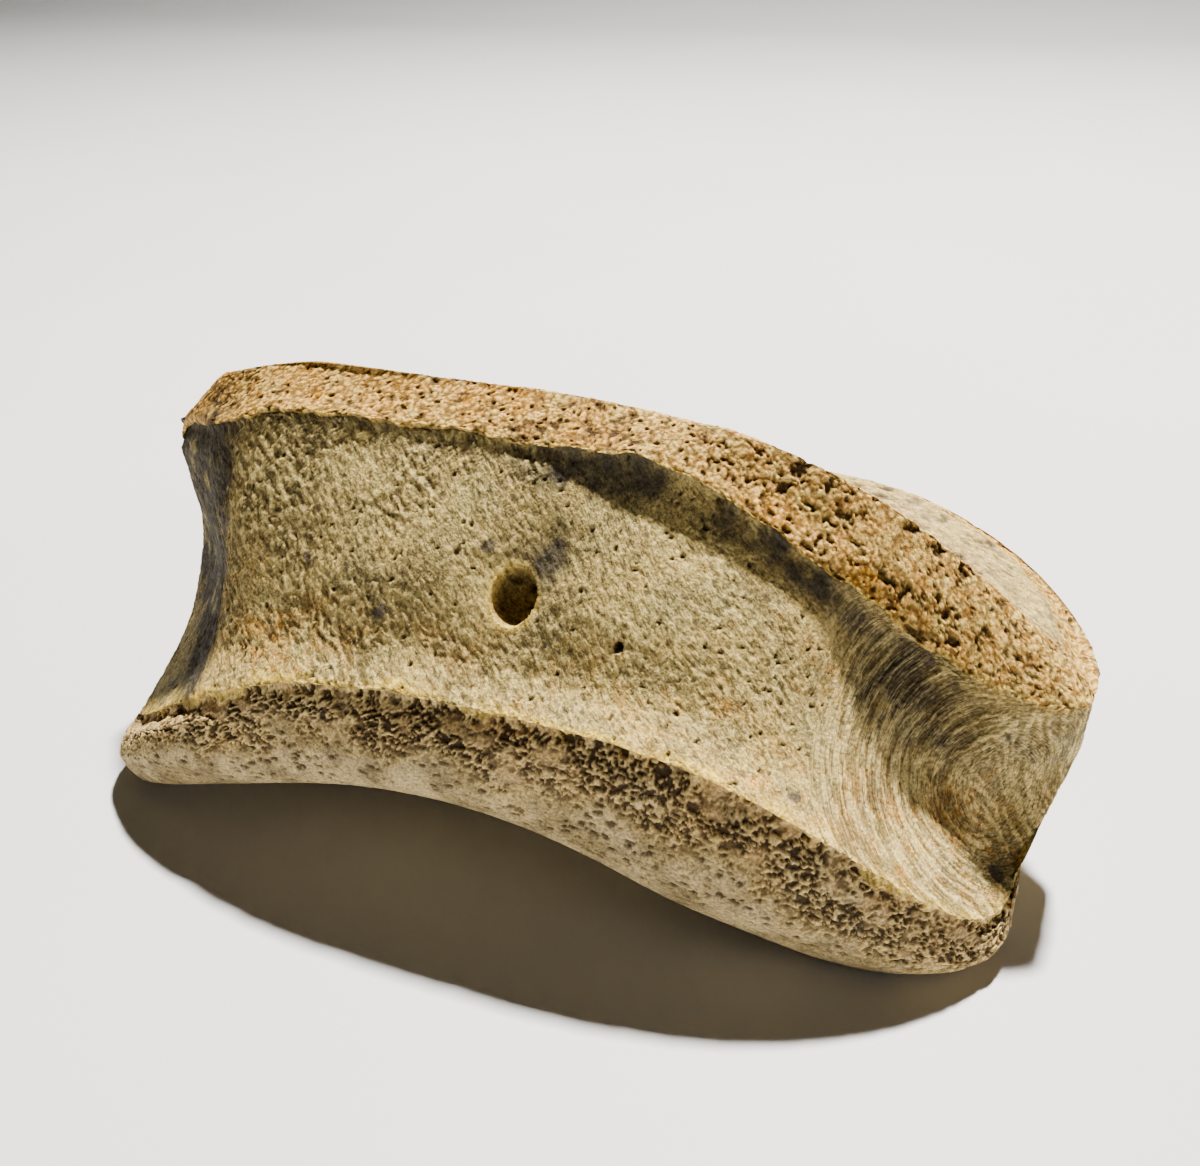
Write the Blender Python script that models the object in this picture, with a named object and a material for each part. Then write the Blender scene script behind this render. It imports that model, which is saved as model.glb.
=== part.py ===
"""A dinosaur's toe bone: one short, wide toe joint, resting on its rolled lower end.

The near face looks towards -Y. Every level of the bone is a closed outline seen from above,
and the surface is a smooth loft through those outlines from the underside to the upper dish.
Sizes are in metres.
"""

import bpy
import numpy as np

NAME = "toe_bone"
COLUMNS = 104

# Numbers of the levels where the main forms meet, counted up from the underside
SEAT_LEVEL = 4
CREASE_LEVEL = 10
LIP_LEVEL = 16
CREST_LEVEL = 19
LAST_LEVEL = 24

# Rows of the mesh: the level that each run of rows ends at, and how many rows it has
ROW_RUNS = (
    (SEAT_LEVEL, 9),
    (CREASE_LEVEL - 1, 11),
    (CREASE_LEVEL, 1),
    (LIP_LEVEL - 1, 15),
    (LIP_LEVEL, 1),
    (CREST_LEVEL, 7),
    (LAST_LEVEL, 10),
)

# Shares of the widest row under which a row keeps every second, fourth and eighth point
THIN_ROWS = (0.62, 0.36, 0.16)

# Outlines seen from above, where AXIS_X and middle are the centre that each one is drawn round
AXIS_X = -0.0010
FAR_CORNER = 2.4
FLARE = dict(left=-0.0638, right=0.0596, near=-0.0308, far=0.0216, middle=-0.0109, corners=(4.57, 2.83))
CREASE = dict(left=-0.0628, right=0.0590, near=-0.0287, far=0.0191, middle=-0.0061, corners=(3.70, 3.40))
WAIST = dict(left=-0.0671, right=0.0640, near=-0.0197, far=0.0181, middle=0.0047, corners=(3.20, 1.94))
LIP = dict(left=-0.0641, right=0.0637, near=-0.0089, far=0.0256, middle=-0.0015, corners=(4.09, 2.72))
CREST = dict(left=-0.0534, right=0.0632, near=-0.0036, far=0.0332, middle=0.0042, corners=(3.50, 1.62))
RIM_SWELL = 0.0006

# Where an outline's near side starts to give way to its far side, and over how much of its depth
NEAR_START = 0.10
NEAR_RUN = 0.75

# Straight cuts across the near left corner: a place on the cut and the way it faces, in degrees
WAIST_CUT = dict(place=(-0.0425, -0.0175), facing=224.3, soft=0.0009)
LIP_CUT = dict(place=(-0.0490, -0.0077), facing=236.2, soft=0.0010)

# Lower end: the roll's radius in the middle and at each end, and where it changes
ROLL = 0.0060
ROLL_LEFT = 0.0027
ROLL_RIGHT = 0.0095
ROLL_LEFT_X = -0.0460
ROLL_LEFT_RUN = 0.0140
ROLL_RIGHT_X = 0.0190
ROLL_RIGHT_RUN = 0.0200
ROLL_TURNS = (31.5, 63.0)
SEAT_SHARES = (0.02, 0.3, 0.6, 0.85, 1.0)

# Heights of the widest outline and of the shoulder over it, and how far the shoulder has come in
SIDE_RISE = 0.45
SHOULDER_RISE = 0.62
SHOULDER_REACH = 0.42

# Arch of the lower end between the two ends that the bone rests on
ARCH_NEAR = 0.0143
ARCH_FAR = 0.0050
ARCH_TOP_X = -0.0066
ARCH_LEFT_X = -0.0746
ARCH_RIGHT_X = 0.0449
ARCH_FAR_TOP_X = -0.0030
ARCH_FAR_REACH = 0.0500
ARCH_NEAR_Y = -0.0284
ARCH_DEPTH = 0.0180

# Height of the crease over the lower end
CREASE_TOP = 0.0300
CREASE_DROP = 0.0425
CREASE_TOP_X = -0.0007
CREASE_LEFT = 0.0682
CREASE_RIGHT = 0.0636
CREASE_FAR = 0.0170

# Height of the lip under the upper band
LIP_TOP = 0.0546
LIP_DROP_RIGHT = 0.0254
LIP_RIGHT_X = 0.0079
LIP_RIGHT_RUN = 0.0549
LIP_DROP_LEFT = 0.0067
LIP_LEFT_X = -0.0344
LIP_LEFT_RUN = 0.0224
LIP_FAR = 0.0265

# Height of the crest round the upper dish: its saddle, and its fall to the right and left
CREST_TOP = 0.0590
CREST_SADDLE = 0.0019
CREST_SADDLE_X = 0.0245
CREST_SADDLE_RUN = 0.0158
CREST_DROP_RIGHT = 0.0300
CREST_RIGHT_X = 0.0191
CREST_RIGHT_RUN = 0.0444
CREST_DROP_LEFT = 0.0087
CREST_LEFT_X = -0.0331
CREST_LEFT_RUN = 0.0288
CREST_FALL_POWER = 1.6
CREST_FAR = 0.0381
CREST_FAR_DROP = 0.0056
CREST_FAR_RIGHT_X = 0.0337
CREST_FAR_RIGHT_RUN = 0.0220
CREST_FAR_LEFT_DROP = 0.0030
CREST_FAR_LEFT_X = -0.0260
CREST_FAR_LEFT_RUN = 0.0300

# Crest's edge, rounded in and down, and the dish inside it
CREST_ROUND = 0.0014
CREST_BEVEL = 0.0007
DISH_DEPTH = 0.0035
DISH_RIM = 0.0050
DISH_SHARES = (1.0, 0.78, 0.52, 0.26, 0.02)

# Broken edges: how far the wall steps in under the lip, and the lower end under the crease
LIP_STEP = 0.0008
LIP_STEP_DROP = 0.0009
LIP_STEP_END = 0.0520
LIP_STEP_RUN = 0.0100
CREASE_STEP = 0.0004
CREASE_STEP_DROP = 0.0007
CREASE_STEP_END = 0.0540
CREASE_STEP_RUN = 0.0320

# Wall: heights of its levels from the crease to the lip, and how far in its foot, middle and edge lie
WALL_RISES = (0.13, 0.42, 0.70, 0.90)
WALL_FOOT_REACH = 0.48
WALL_MIDDLE_REACH = 0.54
EDGE_REACH = 0.35

# How far the wall has leaned back to the lip near its top, and more where the lip overhangs it
UNDER_LIP = 0.86
UNDERCUT_SLOPE = 0.26
UNDERCUT_X = -0.0060
UNDERCUT_END_X = 0.0580
UNDERCUT_RUN = 0.0250

# Hollows (depth inwards) and lumps (depth below zero): a line from start to end and a radius
WALL_HOLLOWS = dict(
    side_pit=dict(start=(0.0395, -0.0075, 0.0345), end=(0.0455, -0.0065, 0.0295), radius=0.005, depth=0.003),
    lower_pit=dict(start=(0.0466, -0.0105, 0.024), end=(0.0484, -0.0124, 0.0216), radius=0.0055, depth=0.001),
    side_groove=dict(start=(0.058, -0.006, 0.024), end=(0.0565, -0.0115, 0.013), radius=0.0036, depth=0.0016),
    near_flank=dict(start=(0.0537, -0.009, 0.0205), end=(0.053, -0.0125, 0.015), radius=0.005, depth=-0.0008),
    wall_groove=dict(start=(-0.0005, -0.018, 0.0416), end=(0.0016, -0.0148, 0.045), radius=0.004, depth=0.0012),
    left_dent=dict(start=(-0.034, -0.0165, 0.034), end=(-0.03, -0.015, 0.041), radius=0.006, depth=0.0004),
    mid_swell=dict(start=(-0.02, -0.0185, 0.0385), end=(-0.012, -0.017, 0.042), radius=0.006, depth=-0.0004),
    low_dent=dict(start=(0.005, -0.0215, 0.034), end=(0.02, -0.0205, 0.033), radius=0.006, depth=0.0004),
)
BAND_HOLLOWS = dict(
    crest_lump=dict(start=(0.014, -0.0045, 0.058), end=(0.0195, -0.0042, 0.0572), radius=0.0045, depth=-0.0009),
    band_dent=dict(start=(0.025, -0.007, 0.052), end=(0.03, -0.0072, 0.0485), radius=0.0045, depth=0.0006),
    band_lump=dict(start=(0.038, -0.0065, 0.044), end=(0.043, -0.006, 0.04), radius=0.0045, depth=-0.0006),
    knob=dict(start=(0.06, 0.001, 0.033), end=(0.061, -0.001, 0.031), radius=0.0045, depth=-0.0005),
    left_dip=dict(start=(-0.033, -0.0072, 0.0558), end=(-0.025, -0.0072, 0.0562), radius=0.005, depth=0.0005),
)
LOWER_HOLLOWS = dict(
    left_lump=dict(start=(-0.05, -0.026, 0.012), end=(-0.043, -0.0275, 0.015), radius=0.005, depth=-0.0006),
    left_dip=dict(start=(-0.033, -0.0295, 0.018), end=(-0.027, -0.0295, 0.02), radius=0.005, depth=0.0006),
    middle_lump=dict(start=(-0.012, -0.03, 0.022), end=(-0.005, -0.03, 0.022), radius=0.005, depth=-0.0005),
    middle_dip=dict(start=(0.005, -0.03, 0.02), end=(0.012, -0.03, 0.018), radius=0.005, depth=0.0006),
    right_lump=dict(start=(0.03, -0.029, 0.014), end=(0.038, -0.027, 0.011), radius=0.006, depth=-0.0006),
)

# Middle of the bone's whole extent as drawn here, which is moved to the origin
MIDDLE_X = -0.0010
MIDDLE_Y = 0.0010

# Opening for a blood vessel in the near wall: half width, half height and depth, and its lean
FORAMEN_PLACE = (-0.0010, -0.0190, 0.0398)
FORAMEN_SIZE = (0.0026, 0.0048, 0.0034)
FORAMEN_LEAN = 38.0


def smooth(t):
    """0 below 0, 1 above 1, and 3t^2 - 2t^3 between."""
    t = np.clip(t, 0.0, 1.0)
    return t * t * (3.0 - 2.0 * t)


def mix(a, b, t):
    """a at t = 0 and b at t = 1."""
    return a * (1.0 - t) + b * t


def ring(outline, angle, swell=0.0):
    """Superellipse x = a r cos, y = b r sin, r = (|cos|^n + |sin|^n)^(-1/n), with its own reach and
    power on each side, so that one angle stands at about one place along every outline."""
    c = np.cos(angle)
    s = np.sin(angle)
    middle = outline["middle"]
    a = np.where(c < 0.0, AXIS_X - outline["left"], outline["right"] - AXIS_X) + swell
    b = np.where(s < 0.0, middle - outline["near"], outline["far"] - middle) + swell
    left, right = outline["corners"]
    near_power = mix(right, left, smooth((1.0 - c) / 2.0))
    power = mix(FAR_CORNER, near_power, smooth(0.5 - 2.0 * s))
    r = (np.abs(c) ** power + np.abs(s) ** power) ** (-1.0 / power)
    return np.stack([AXIS_X + a * r * c, middle + b * r * s], -1)


def planed(xy, cut):
    """An outline cut back along a straight line.

    Each point moves in by soft * log(1 + exp(d / soft)), where d is how far it lies beyond the line.
    """
    turn = np.radians(cut["facing"])
    facing = np.array([np.cos(turn), np.sin(turn)])
    beyond = (xy - np.array(cut["place"])) @ facing / cut["soft"]
    return xy - (cut["soft"] * np.logaddexp(0.0, beyond))[:, None] * facing


def lip_ring(angle):
    return planed(ring(LIP, angle), LIP_CUT)


def stepped(xy, place, step):
    """An outline moved in towards the axis by step."""
    out = xy - np.array(place)
    return xy - out * (step / np.linalg.norm(out, axis=1))[:, None]


def nearness(xy, outline):
    """1 on the near side of an outline and 0 on its far side."""
    t = (xy[:, 1] - outline["near"]) / (outline["far"] - outline["near"])
    return 1.0 - smooth((t - NEAR_START) / NEAR_RUN)


def two_sided(x, top, left, right):
    """Distance from top, as a share of the left run or of the right run."""
    return np.where(x < top, (top - x) / left, (x - top) / right)


def arch_height(xy):
    """Height of the underside: an arch from end to end, low behind the near edge."""
    x = xy[:, 0]
    reach = np.abs(two_sided(x, ARCH_TOP_X, ARCH_TOP_X - ARCH_LEFT_X, ARCH_RIGHT_X - ARCH_TOP_X))
    near = ARCH_NEAR * (1.0 - smooth(reach))
    far = ARCH_FAR * (1.0 - smooth(np.abs(x - ARCH_FAR_TOP_X) / ARCH_FAR_REACH))
    return mix(near, far, smooth((xy[:, 1] - ARCH_NEAR_Y) / ARCH_DEPTH))


def crease_height(xy, near):
    """Height of the crease: a hill exp(-d^3) on the near side, level on the far side."""
    d = np.abs(two_sided(xy[:, 0], CREASE_TOP_X, CREASE_LEFT, CREASE_RIGHT))
    hill = CREASE_TOP - CREASE_DROP * (1.0 - np.exp(-d ** 3))
    return mix(CREASE_FAR, hill, near)


def lip_height(xy, near):
    """Height of the lip: level in the middle, lower to the right and left."""
    x = xy[:, 0]
    right = LIP_DROP_RIGHT * smooth((x - LIP_RIGHT_X) / LIP_RIGHT_RUN)
    left = LIP_DROP_LEFT * smooth((LIP_LEFT_X - x) / LIP_LEFT_RUN)
    return mix(LIP_FAR, LIP_TOP - right - left, near)


def crest_height(xy, near):
    """Height of the crest: a saddle, then a long fall to the right and a short one to the left."""
    x = xy[:, 0]
    saddle = CREST_SADDLE * np.exp(-((x - CREST_SADDLE_X) / CREST_SADDLE_RUN) ** 2)
    right = CREST_DROP_RIGHT * np.clip((x - CREST_RIGHT_X) / CREST_RIGHT_RUN, 0.0, 2.0) ** CREST_FALL_POWER
    left = CREST_DROP_LEFT * np.clip((CREST_LEFT_X - x) / CREST_LEFT_RUN, 0.0, 2.0) ** CREST_FALL_POWER
    far_right = CREST_FAR_DROP * np.clip((x - CREST_FAR_RIGHT_X) / CREST_FAR_RIGHT_RUN, 0.0, 2.0) ** 2
    far_left = CREST_FAR_LEFT_DROP * np.clip((CREST_FAR_LEFT_X - x) / CREST_FAR_LEFT_RUN, 0.0, 2.0) ** 2
    return mix(CREST_FAR - far_right - far_left, CREST_TOP - saddle - right - left, near)


def level(xy, height):
    """Points of one outline at its height."""
    return np.column_stack([xy, height])


def lower_levels(angle):
    """The underside, the rolled edge and the shoulder up to the crease."""
    flare = ring(FLARE, angle)
    crease = ring(CREASE, angle)
    centre = np.array([AXIS_X, (FLARE["near"] + FLARE["far"]) / 2.0])
    roll = mix(ROLL, ROLL_RIGHT, smooth((flare[:, 0] - ROLL_RIGHT_X) / ROLL_RIGHT_RUN))
    roll = mix(roll, ROLL_LEFT, smooth((ROLL_LEFT_X - flare[:, 0]) / ROLL_LEFT_RUN))
    out = flare - centre
    seat = centre + out * (1.0 - roll / np.linalg.norm(out, axis=1))[:, None]
    foot = arch_height(seat)
    top = crease_height(crease, nearness(crease, CREASE))
    side = mix(foot, top, SIDE_RISE)
    levels = []
    for share in SEAT_SHARES:
        xy = centre + (seat - centre) * share
        levels.append(level(xy, arch_height(xy)))
    for turn in np.radians(ROLL_TURNS):
        levels.append(level(mix(seat, flare, np.sin(turn)), mix(foot, side, 1.0 - np.cos(turn))))
    levels.append(level(flare, side))
    levels.append(level(mix(flare, crease, SHOULDER_REACH), mix(side, top, SHOULDER_RISE)))
    step = CREASE_STEP * smooth((CREASE_STEP_END - np.abs(crease[:, 0])) / CREASE_STEP_RUN)
    levels.append(level(stepped(crease, centre, step), top - CREASE_STEP_DROP))
    levels.append(level(crease, top))
    return levels


def wall_levels(angle):
    """The hollow wall from the crease to the overhanging lip."""
    crease = ring(CREASE, angle)
    waist = planed(ring(WAIST, angle), WAIST_CUT)
    lip = lip_ring(angle)
    near = nearness(lip, LIP)
    low = crease_height(crease, nearness(crease, CREASE))
    high = lip_height(lip, near)
    x = lip[:, 0]
    span = smooth((x - UNDERCUT_X) / UNDERCUT_RUN) * smooth((UNDERCUT_END_X - x) / UNDERCUT_RUN)
    overhang = UNDERCUT_SLOPE * near * span
    under = (UNDER_LIP + overhang)[:, None]
    centre = np.array([AXIS_X, (LIP["near"] + LIP["far"]) / 2.0])
    step = LIP_STEP * near * smooth((LIP_STEP_END - x) / LIP_STEP_RUN)
    foot, middle, upper, top = (mix(low, high, rise) for rise in WALL_RISES)
    edge = mix(waist, lip, mix(under, 1.0, EDGE_REACH))
    return [
        level(mix(crease, waist, WALL_FOOT_REACH), foot),
        level(waist, middle),
        level(mix(waist, lip, WALL_MIDDLE_REACH * under), upper),
        level(mix(waist, lip, under), top),
        level(stepped(edge, centre, step), high - LIP_STEP_DROP),
        level(lip, high),
    ]


def upper_levels(angle):
    """The band from the lip to the crest, and the dish inside the crest."""
    lip = lip_ring(angle)
    crest = ring(CREST, angle)
    low = lip_height(lip, nearness(lip, LIP))
    high = crest_height(crest, nearness(crest, CREST))
    centre = np.array([AXIS_X, (CREST["near"] + CREST["far"]) / 2.0])
    out = crest - centre
    size = np.linalg.norm(out, axis=1)
    top = centre + out * (1.0 - CREST_ROUND / size)[:, None]
    levels = [
        level(mix(lip, ring(CREST, angle, RIM_SWELL), 0.5), mix(low, high - CREST_BEVEL, 0.5)),
        level(crest, high - CREST_BEVEL),
        level(top, high),
    ]
    slope = (CREST_FAR - CREST_TOP) / (CREST["far"] - CREST["near"])
    lift = high - (CREST_TOP + CREST_FAR) / 2.0 - slope * (crest[:, 1] - centre[1])
    first = 1.0 - DISH_RIM / size
    for share in DISH_SHARES:
        s = first * share
        xy = centre + out * s[:, None]
        plane = (CREST_TOP + CREST_FAR) / 2.0 + slope * (xy[:, 1] - centre[1])
        levels.append(level(xy, plane + lift * s ** 2 - DISH_DEPTH * (1.0 - s ** 2) ** 1.5))
    return levels


def loft(levels, position):
    """Smooth curves through the levels: cubic pieces with centripetal spacing.

    position holds the level numbers to read, whole numbers being the levels themselves.
    """
    gap = np.sqrt(np.linalg.norm(np.diff(levels, axis=0), axis=-1).mean(axis=1))
    slope = np.diff(levels, axis=0) / gap[:, None, None]
    before = gap[:-1, None, None]
    after = gap[1:, None, None]
    middle = (slope[:-1] * after + slope[1:] * before) / (before + after)
    tangent = np.concatenate([slope[:1], middle, slope[-1:]])
    i = np.minimum(position.astype(int), len(levels) - 2)
    u = (position - i)[:, None, None]
    g = gap[i][:, None, None]
    return ((2 * u ** 3 - 3 * u ** 2 + 1) * levels[i] + (u ** 3 - 2 * u ** 2 + u) * g * tangent[i]
            + (3 * u ** 2 - 2 * u ** 3) * levels[i + 1] + (u ** 3 - u ** 2) * g * tangent[i + 1])


def even_angles(count):
    """Angles that space the points of the flare evenly round it."""
    fine = np.linspace(-np.pi, np.pi, 2001)
    step = np.linalg.norm(np.diff(ring(FLARE, fine), axis=0), axis=1)
    length = np.concatenate([[0.0], np.cumsum(step)])
    return np.interp(np.arange(count) / count * length[-1], length, fine)


def row_positions(levels):
    """Level numbers of the rows, even by length within each run."""
    step = np.linalg.norm(np.diff(levels, axis=0), axis=-1).mean(axis=1)
    length = np.concatenate([[0.0], np.cumsum(step)])
    wanted = []
    low = 0.0
    for last, count in ROW_RUNS:
        wanted.append(np.linspace(low, length[last], count, endpoint=False))
        low = length[last]
    return np.interp(np.append(np.concatenate(wanted), low), length, np.arange(len(levels)))


def outward(grid):
    """Unit normals of a closed grid, from its neighbours along the rows and columns."""
    along = np.gradient(grid, axis=0)
    around = np.roll(grid, -1, axis=1) - np.roll(grid, 1, axis=1)
    normal = np.cross(around, along)
    return normal / np.linalg.norm(normal, axis=-1, keepdims=True)


def segment_distance(points, start, end):
    """Distance of points from a straight segment."""
    start = np.array(start)
    line = np.array(end) - start
    t = np.clip((points - start) @ line / (line @ line), 0.0, 1.0)
    return np.linalg.norm(points - start - t[..., None] * line, axis=-1)


def hollowed(grid, position):
    """The grid with each hollow pressed in by depth * exp(-(distance / radius)^2).

    Each one is pressed one way, the mean of the surface's normals round it, and stays between
    the levels of its own part of the side.
    """
    parts = ((LOWER_HOLLOWS, SEAT_LEVEL + 1, CREASE_LEVEL - 1), (WALL_HOLLOWS, CREASE_LEVEL, LIP_LEVEL - 1),
             (BAND_HOLLOWS, LIP_LEVEL, CREST_LEVEL))
    normal = outward(grid)
    moved = grid.copy()
    for hollows, low, high in parts:
        here = smooth(position - low) * smooth(high - position)
        for hollow in hollows.values():
            distance = segment_distance(grid, hollow["start"], hollow["end"])
            weight = (here[:, None] * np.exp(-(distance / hollow["radius"]) ** 2))[..., None]
            way = (weight * normal).sum(axis=(0, 1))
            moved -= hollow["depth"] * weight * way / np.linalg.norm(way)
    return moved


def bone_grid():
    """Rows of points from the middle of the underside to the middle of the dish."""
    angle = even_angles(COLUMNS)
    levels = np.array(lower_levels(angle) + wall_levels(angle) + upper_levels(angle))
    position = row_positions(levels)
    grid = hollowed(loft(levels, position), position)
    grid[..., 2] = np.maximum(grid[..., 2], 0.0)
    return grid - np.array([MIDDLE_X, MIDDLE_Y, 0.0])


def row_steps(grid):
    """Columns to skip in each row, so that the points stay apart near the two middles."""
    reach = np.ptp(grid[..., 0], axis=1) / np.ptp(grid[..., 0])
    return 2 ** sum((reach <= share).astype(int) for share in THIN_ROWS)


def stitch(low, high):
    """Faces between two closed rows of vertex numbers, where one may have half the other's points."""
    faces = []
    if len(low) == len(high):
        for i in range(len(low)):
            j = (i + 1) % len(low)
            faces.append((low[i], low[j], high[j], high[i]))
        return faces
    fine, coarse = (low, high) if len(low) > len(high) else (high, low)
    for i in range(len(coarse)):
        j = (i + 1) % len(coarse)
        a, b, c = fine[2 * i], fine[2 * i + 1], fine[2 * j]
        trio = [(a, b, coarse[i]), (b, coarse[j], coarse[i]), (b, c, coarse[j])]
        faces.extend(trio if fine is low else [face[::-1] for face in trio])
    return faces


def loft_mesh(grid):
    """A closed mesh over the rows, with a point at the middle of each end."""
    rows = []
    points = []
    for row, step in zip(grid, row_steps(grid)):
        kept = row[::step]
        rows.append(list(range(len(points), len(points) + len(kept))))
        points.extend(kept.tolist())
    faces = []
    for low, high in zip(rows[:-1], rows[1:]):
        faces.extend(stitch(low, high))
    for row, end in ((rows[0][::-1], grid[0]), (rows[-1], grid[-1])):
        points.append(end.mean(axis=0).tolist())
        for i in range(len(row)):
            faces.append((row[i], row[(i + 1) % len(row)], len(points) - 1))
    mesh = bpy.data.meshes.new(NAME)
    mesh.from_pydata(points, [], faces)
    mesh.validate()
    mesh.shade_smooth()
    return mesh


def bone_material():
    """Dull yellow-grey fossil bone."""
    material = bpy.data.materials.new("fossil_bone")
    material.use_nodes = True
    shader = material.node_tree.nodes["Principled BSDF"]
    shader.inputs["Base Color"].default_value = (0.34, 0.29, 0.18, 1.0)
    shader.inputs["Roughness"].default_value = 0.85
    return material


def add_collection(name):
    collection = bpy.data.collections.new(name)
    bpy.context.scene.collection.children.link(collection)
    return collection


def foramen_cutter():
    """An egg-shaped cutter, leaned so that it enters square to the near wall."""
    bpy.ops.mesh.primitive_uv_sphere_add(segments=20, ring_count=12, radius=1.0)
    cutter = bpy.context.object
    cutter.name = "foramen_cutter"
    cutter.location = np.array(FORAMEN_PLACE) - np.array([MIDDLE_X, MIDDLE_Y, 0.0])
    cutter.rotation_euler = (np.radians(-FORAMEN_LEAN), 0.0, 0.0)
    cutter.scale = FORAMEN_SIZE
    bpy.ops.object.transform_apply(location=False, rotation=False, scale=True)
    cutter.hide_render = True
    cutter.display_type = "WIRE"
    for collection in list(cutter.users_collection):
        collection.objects.unlink(cutter)
    add_collection("cutters").objects.link(cutter)
    return cutter


def main():
    for item in list(bpy.data.objects):
        bpy.data.objects.remove(item)
    grid = bone_grid()
    bone = bpy.data.objects.new(NAME, loft_mesh(grid))
    add_collection("fossil_toe_bone").objects.link(bone)
    bone.data.materials.append(bone_material())
    cut = bone.modifiers.new("foramen", "BOOLEAN")
    cut.operation = "DIFFERENCE"
    cut.object = foramen_cutter()


main()
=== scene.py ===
"""The toe bone as the photograph shows it: a finely modelled skin over the solid, with its finish.

The skin is the solid's own loft, worked out on a finer grid and pressed in by a relief of pores,
wrinkles, fibres and worn edges. Sizes are in metres.
"""

import bpy
import numpy as np
from mathutils import Matrix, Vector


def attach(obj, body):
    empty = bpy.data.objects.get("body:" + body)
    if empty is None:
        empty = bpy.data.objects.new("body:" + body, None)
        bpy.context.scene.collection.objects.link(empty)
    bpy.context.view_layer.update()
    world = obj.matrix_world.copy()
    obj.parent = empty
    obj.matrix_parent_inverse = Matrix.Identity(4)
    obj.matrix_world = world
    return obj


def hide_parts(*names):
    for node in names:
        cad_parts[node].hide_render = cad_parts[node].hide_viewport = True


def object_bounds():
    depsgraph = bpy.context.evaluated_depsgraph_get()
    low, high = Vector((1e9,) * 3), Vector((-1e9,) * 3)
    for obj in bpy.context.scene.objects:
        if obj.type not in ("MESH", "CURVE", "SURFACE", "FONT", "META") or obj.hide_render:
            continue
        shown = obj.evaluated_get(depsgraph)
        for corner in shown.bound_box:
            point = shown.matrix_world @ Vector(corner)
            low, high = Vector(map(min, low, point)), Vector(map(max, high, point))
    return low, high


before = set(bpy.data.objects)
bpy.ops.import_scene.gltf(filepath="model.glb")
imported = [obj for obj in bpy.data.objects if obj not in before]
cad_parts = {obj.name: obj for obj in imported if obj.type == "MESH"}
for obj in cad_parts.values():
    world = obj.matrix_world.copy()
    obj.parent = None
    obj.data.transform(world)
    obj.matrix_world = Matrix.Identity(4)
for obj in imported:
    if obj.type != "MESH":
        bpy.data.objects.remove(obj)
CAD_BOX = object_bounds()

NODE = "toe_bone"

# Spacing of the skin's points: round the near side, round the far side, up the side, over the
# underside, over the dish
NEAR_STEP = 0.00021
FAR_STEP = 0.00040
ROW_STEP = 0.00021
END_STEP = 0.00080
DISH_STEP = 0.00036
NEAR_TURN_START = -3.55
NEAR_TURN_END = 0.55
PATCH_TRIANGLES = 180000

# Numbers of the levels where the main forms meet, counted up from the underside
SEAT_LEVEL = 4
CREASE_LEVEL = 10
LIP_LEVEL = 16
CREST_LEVEL = 19

# Outlines seen from above, where AXIS_X and middle are the centre that each one is drawn round
AXIS_X = -0.0010
FAR_CORNER = 2.4
FLARE = dict(
    left=-0.0638, right=0.0596, near=-0.0308, far=0.0216, middle=-0.0109, corners=(4.57, 2.83)
)
CREASE = dict(
    left=-0.0628, right=0.0590, near=-0.0287, far=0.0191, middle=-0.0061, corners=(3.70, 3.40)
)
WAIST = dict(
    left=-0.0671, right=0.0640, near=-0.0197, far=0.0181, middle=0.0047, corners=(3.20, 1.94)
)
LIP = dict(
    left=-0.0641, right=0.0637, near=-0.0089, far=0.0256, middle=-0.0015, corners=(4.09, 2.72)
)
CREST = dict(
    left=-0.0534, right=0.0632, near=-0.0036, far=0.0332, middle=0.0042, corners=(3.50, 1.62)
)
RIM_SWELL = 0.0006

# Where an outline's near side starts to give way to its far side, and over how much of its depth
NEAR_START = 0.10
NEAR_RUN = 0.75

# Straight cuts across the near left corner: a place on the cut and the way it faces, in degrees
WAIST_CUT = dict(place=(-0.0425, -0.0175), facing=224.3, soft=0.0009)
LIP_CUT = dict(place=(-0.0490, -0.0077), facing=236.2, soft=0.0010)

# Lower end: the roll's radius in the middle and at each end, and where it changes
ROLL = 0.0060
ROLL_LEFT = 0.0027
ROLL_RIGHT = 0.0095
ROLL_LEFT_X = -0.0460
ROLL_LEFT_RUN = 0.0140
ROLL_RIGHT_X = 0.0190
ROLL_RIGHT_RUN = 0.0200
ROLL_TURNS = (31.5, 63.0)
SEAT_SHARES = (0.02, 0.3, 0.6, 0.85, 1.0)

# Heights of the widest outline and of the shoulder over it, and how far the shoulder has come in
SIDE_RISE = 0.45
SHOULDER_RISE = 0.62
SHOULDER_REACH = 0.42

# Arch of the lower end between the two ends that the bone rests on
ARCH_NEAR = 0.0143
ARCH_FAR = 0.0050
ARCH_TOP_X = -0.0066
ARCH_LEFT_X = -0.0746
ARCH_RIGHT_X = 0.0449
ARCH_FAR_TOP_X = -0.0030
ARCH_FAR_REACH = 0.0500
ARCH_NEAR_Y = -0.0284
ARCH_DEPTH = 0.0180

# Height of the crease over the lower end
CREASE_TOP = 0.0300
CREASE_DROP = 0.0425
CREASE_TOP_X = -0.0007
CREASE_LEFT = 0.0682
CREASE_RIGHT = 0.0636
CREASE_FAR = 0.0170

# Height of the lip under the upper band
LIP_TOP = 0.0546
LIP_DROP_RIGHT = 0.0254
LIP_RIGHT_X = 0.0079
LIP_RIGHT_RUN = 0.0549
LIP_DROP_LEFT = 0.0067
LIP_LEFT_X = -0.0344
LIP_LEFT_RUN = 0.0224
LIP_FAR = 0.0265

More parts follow.
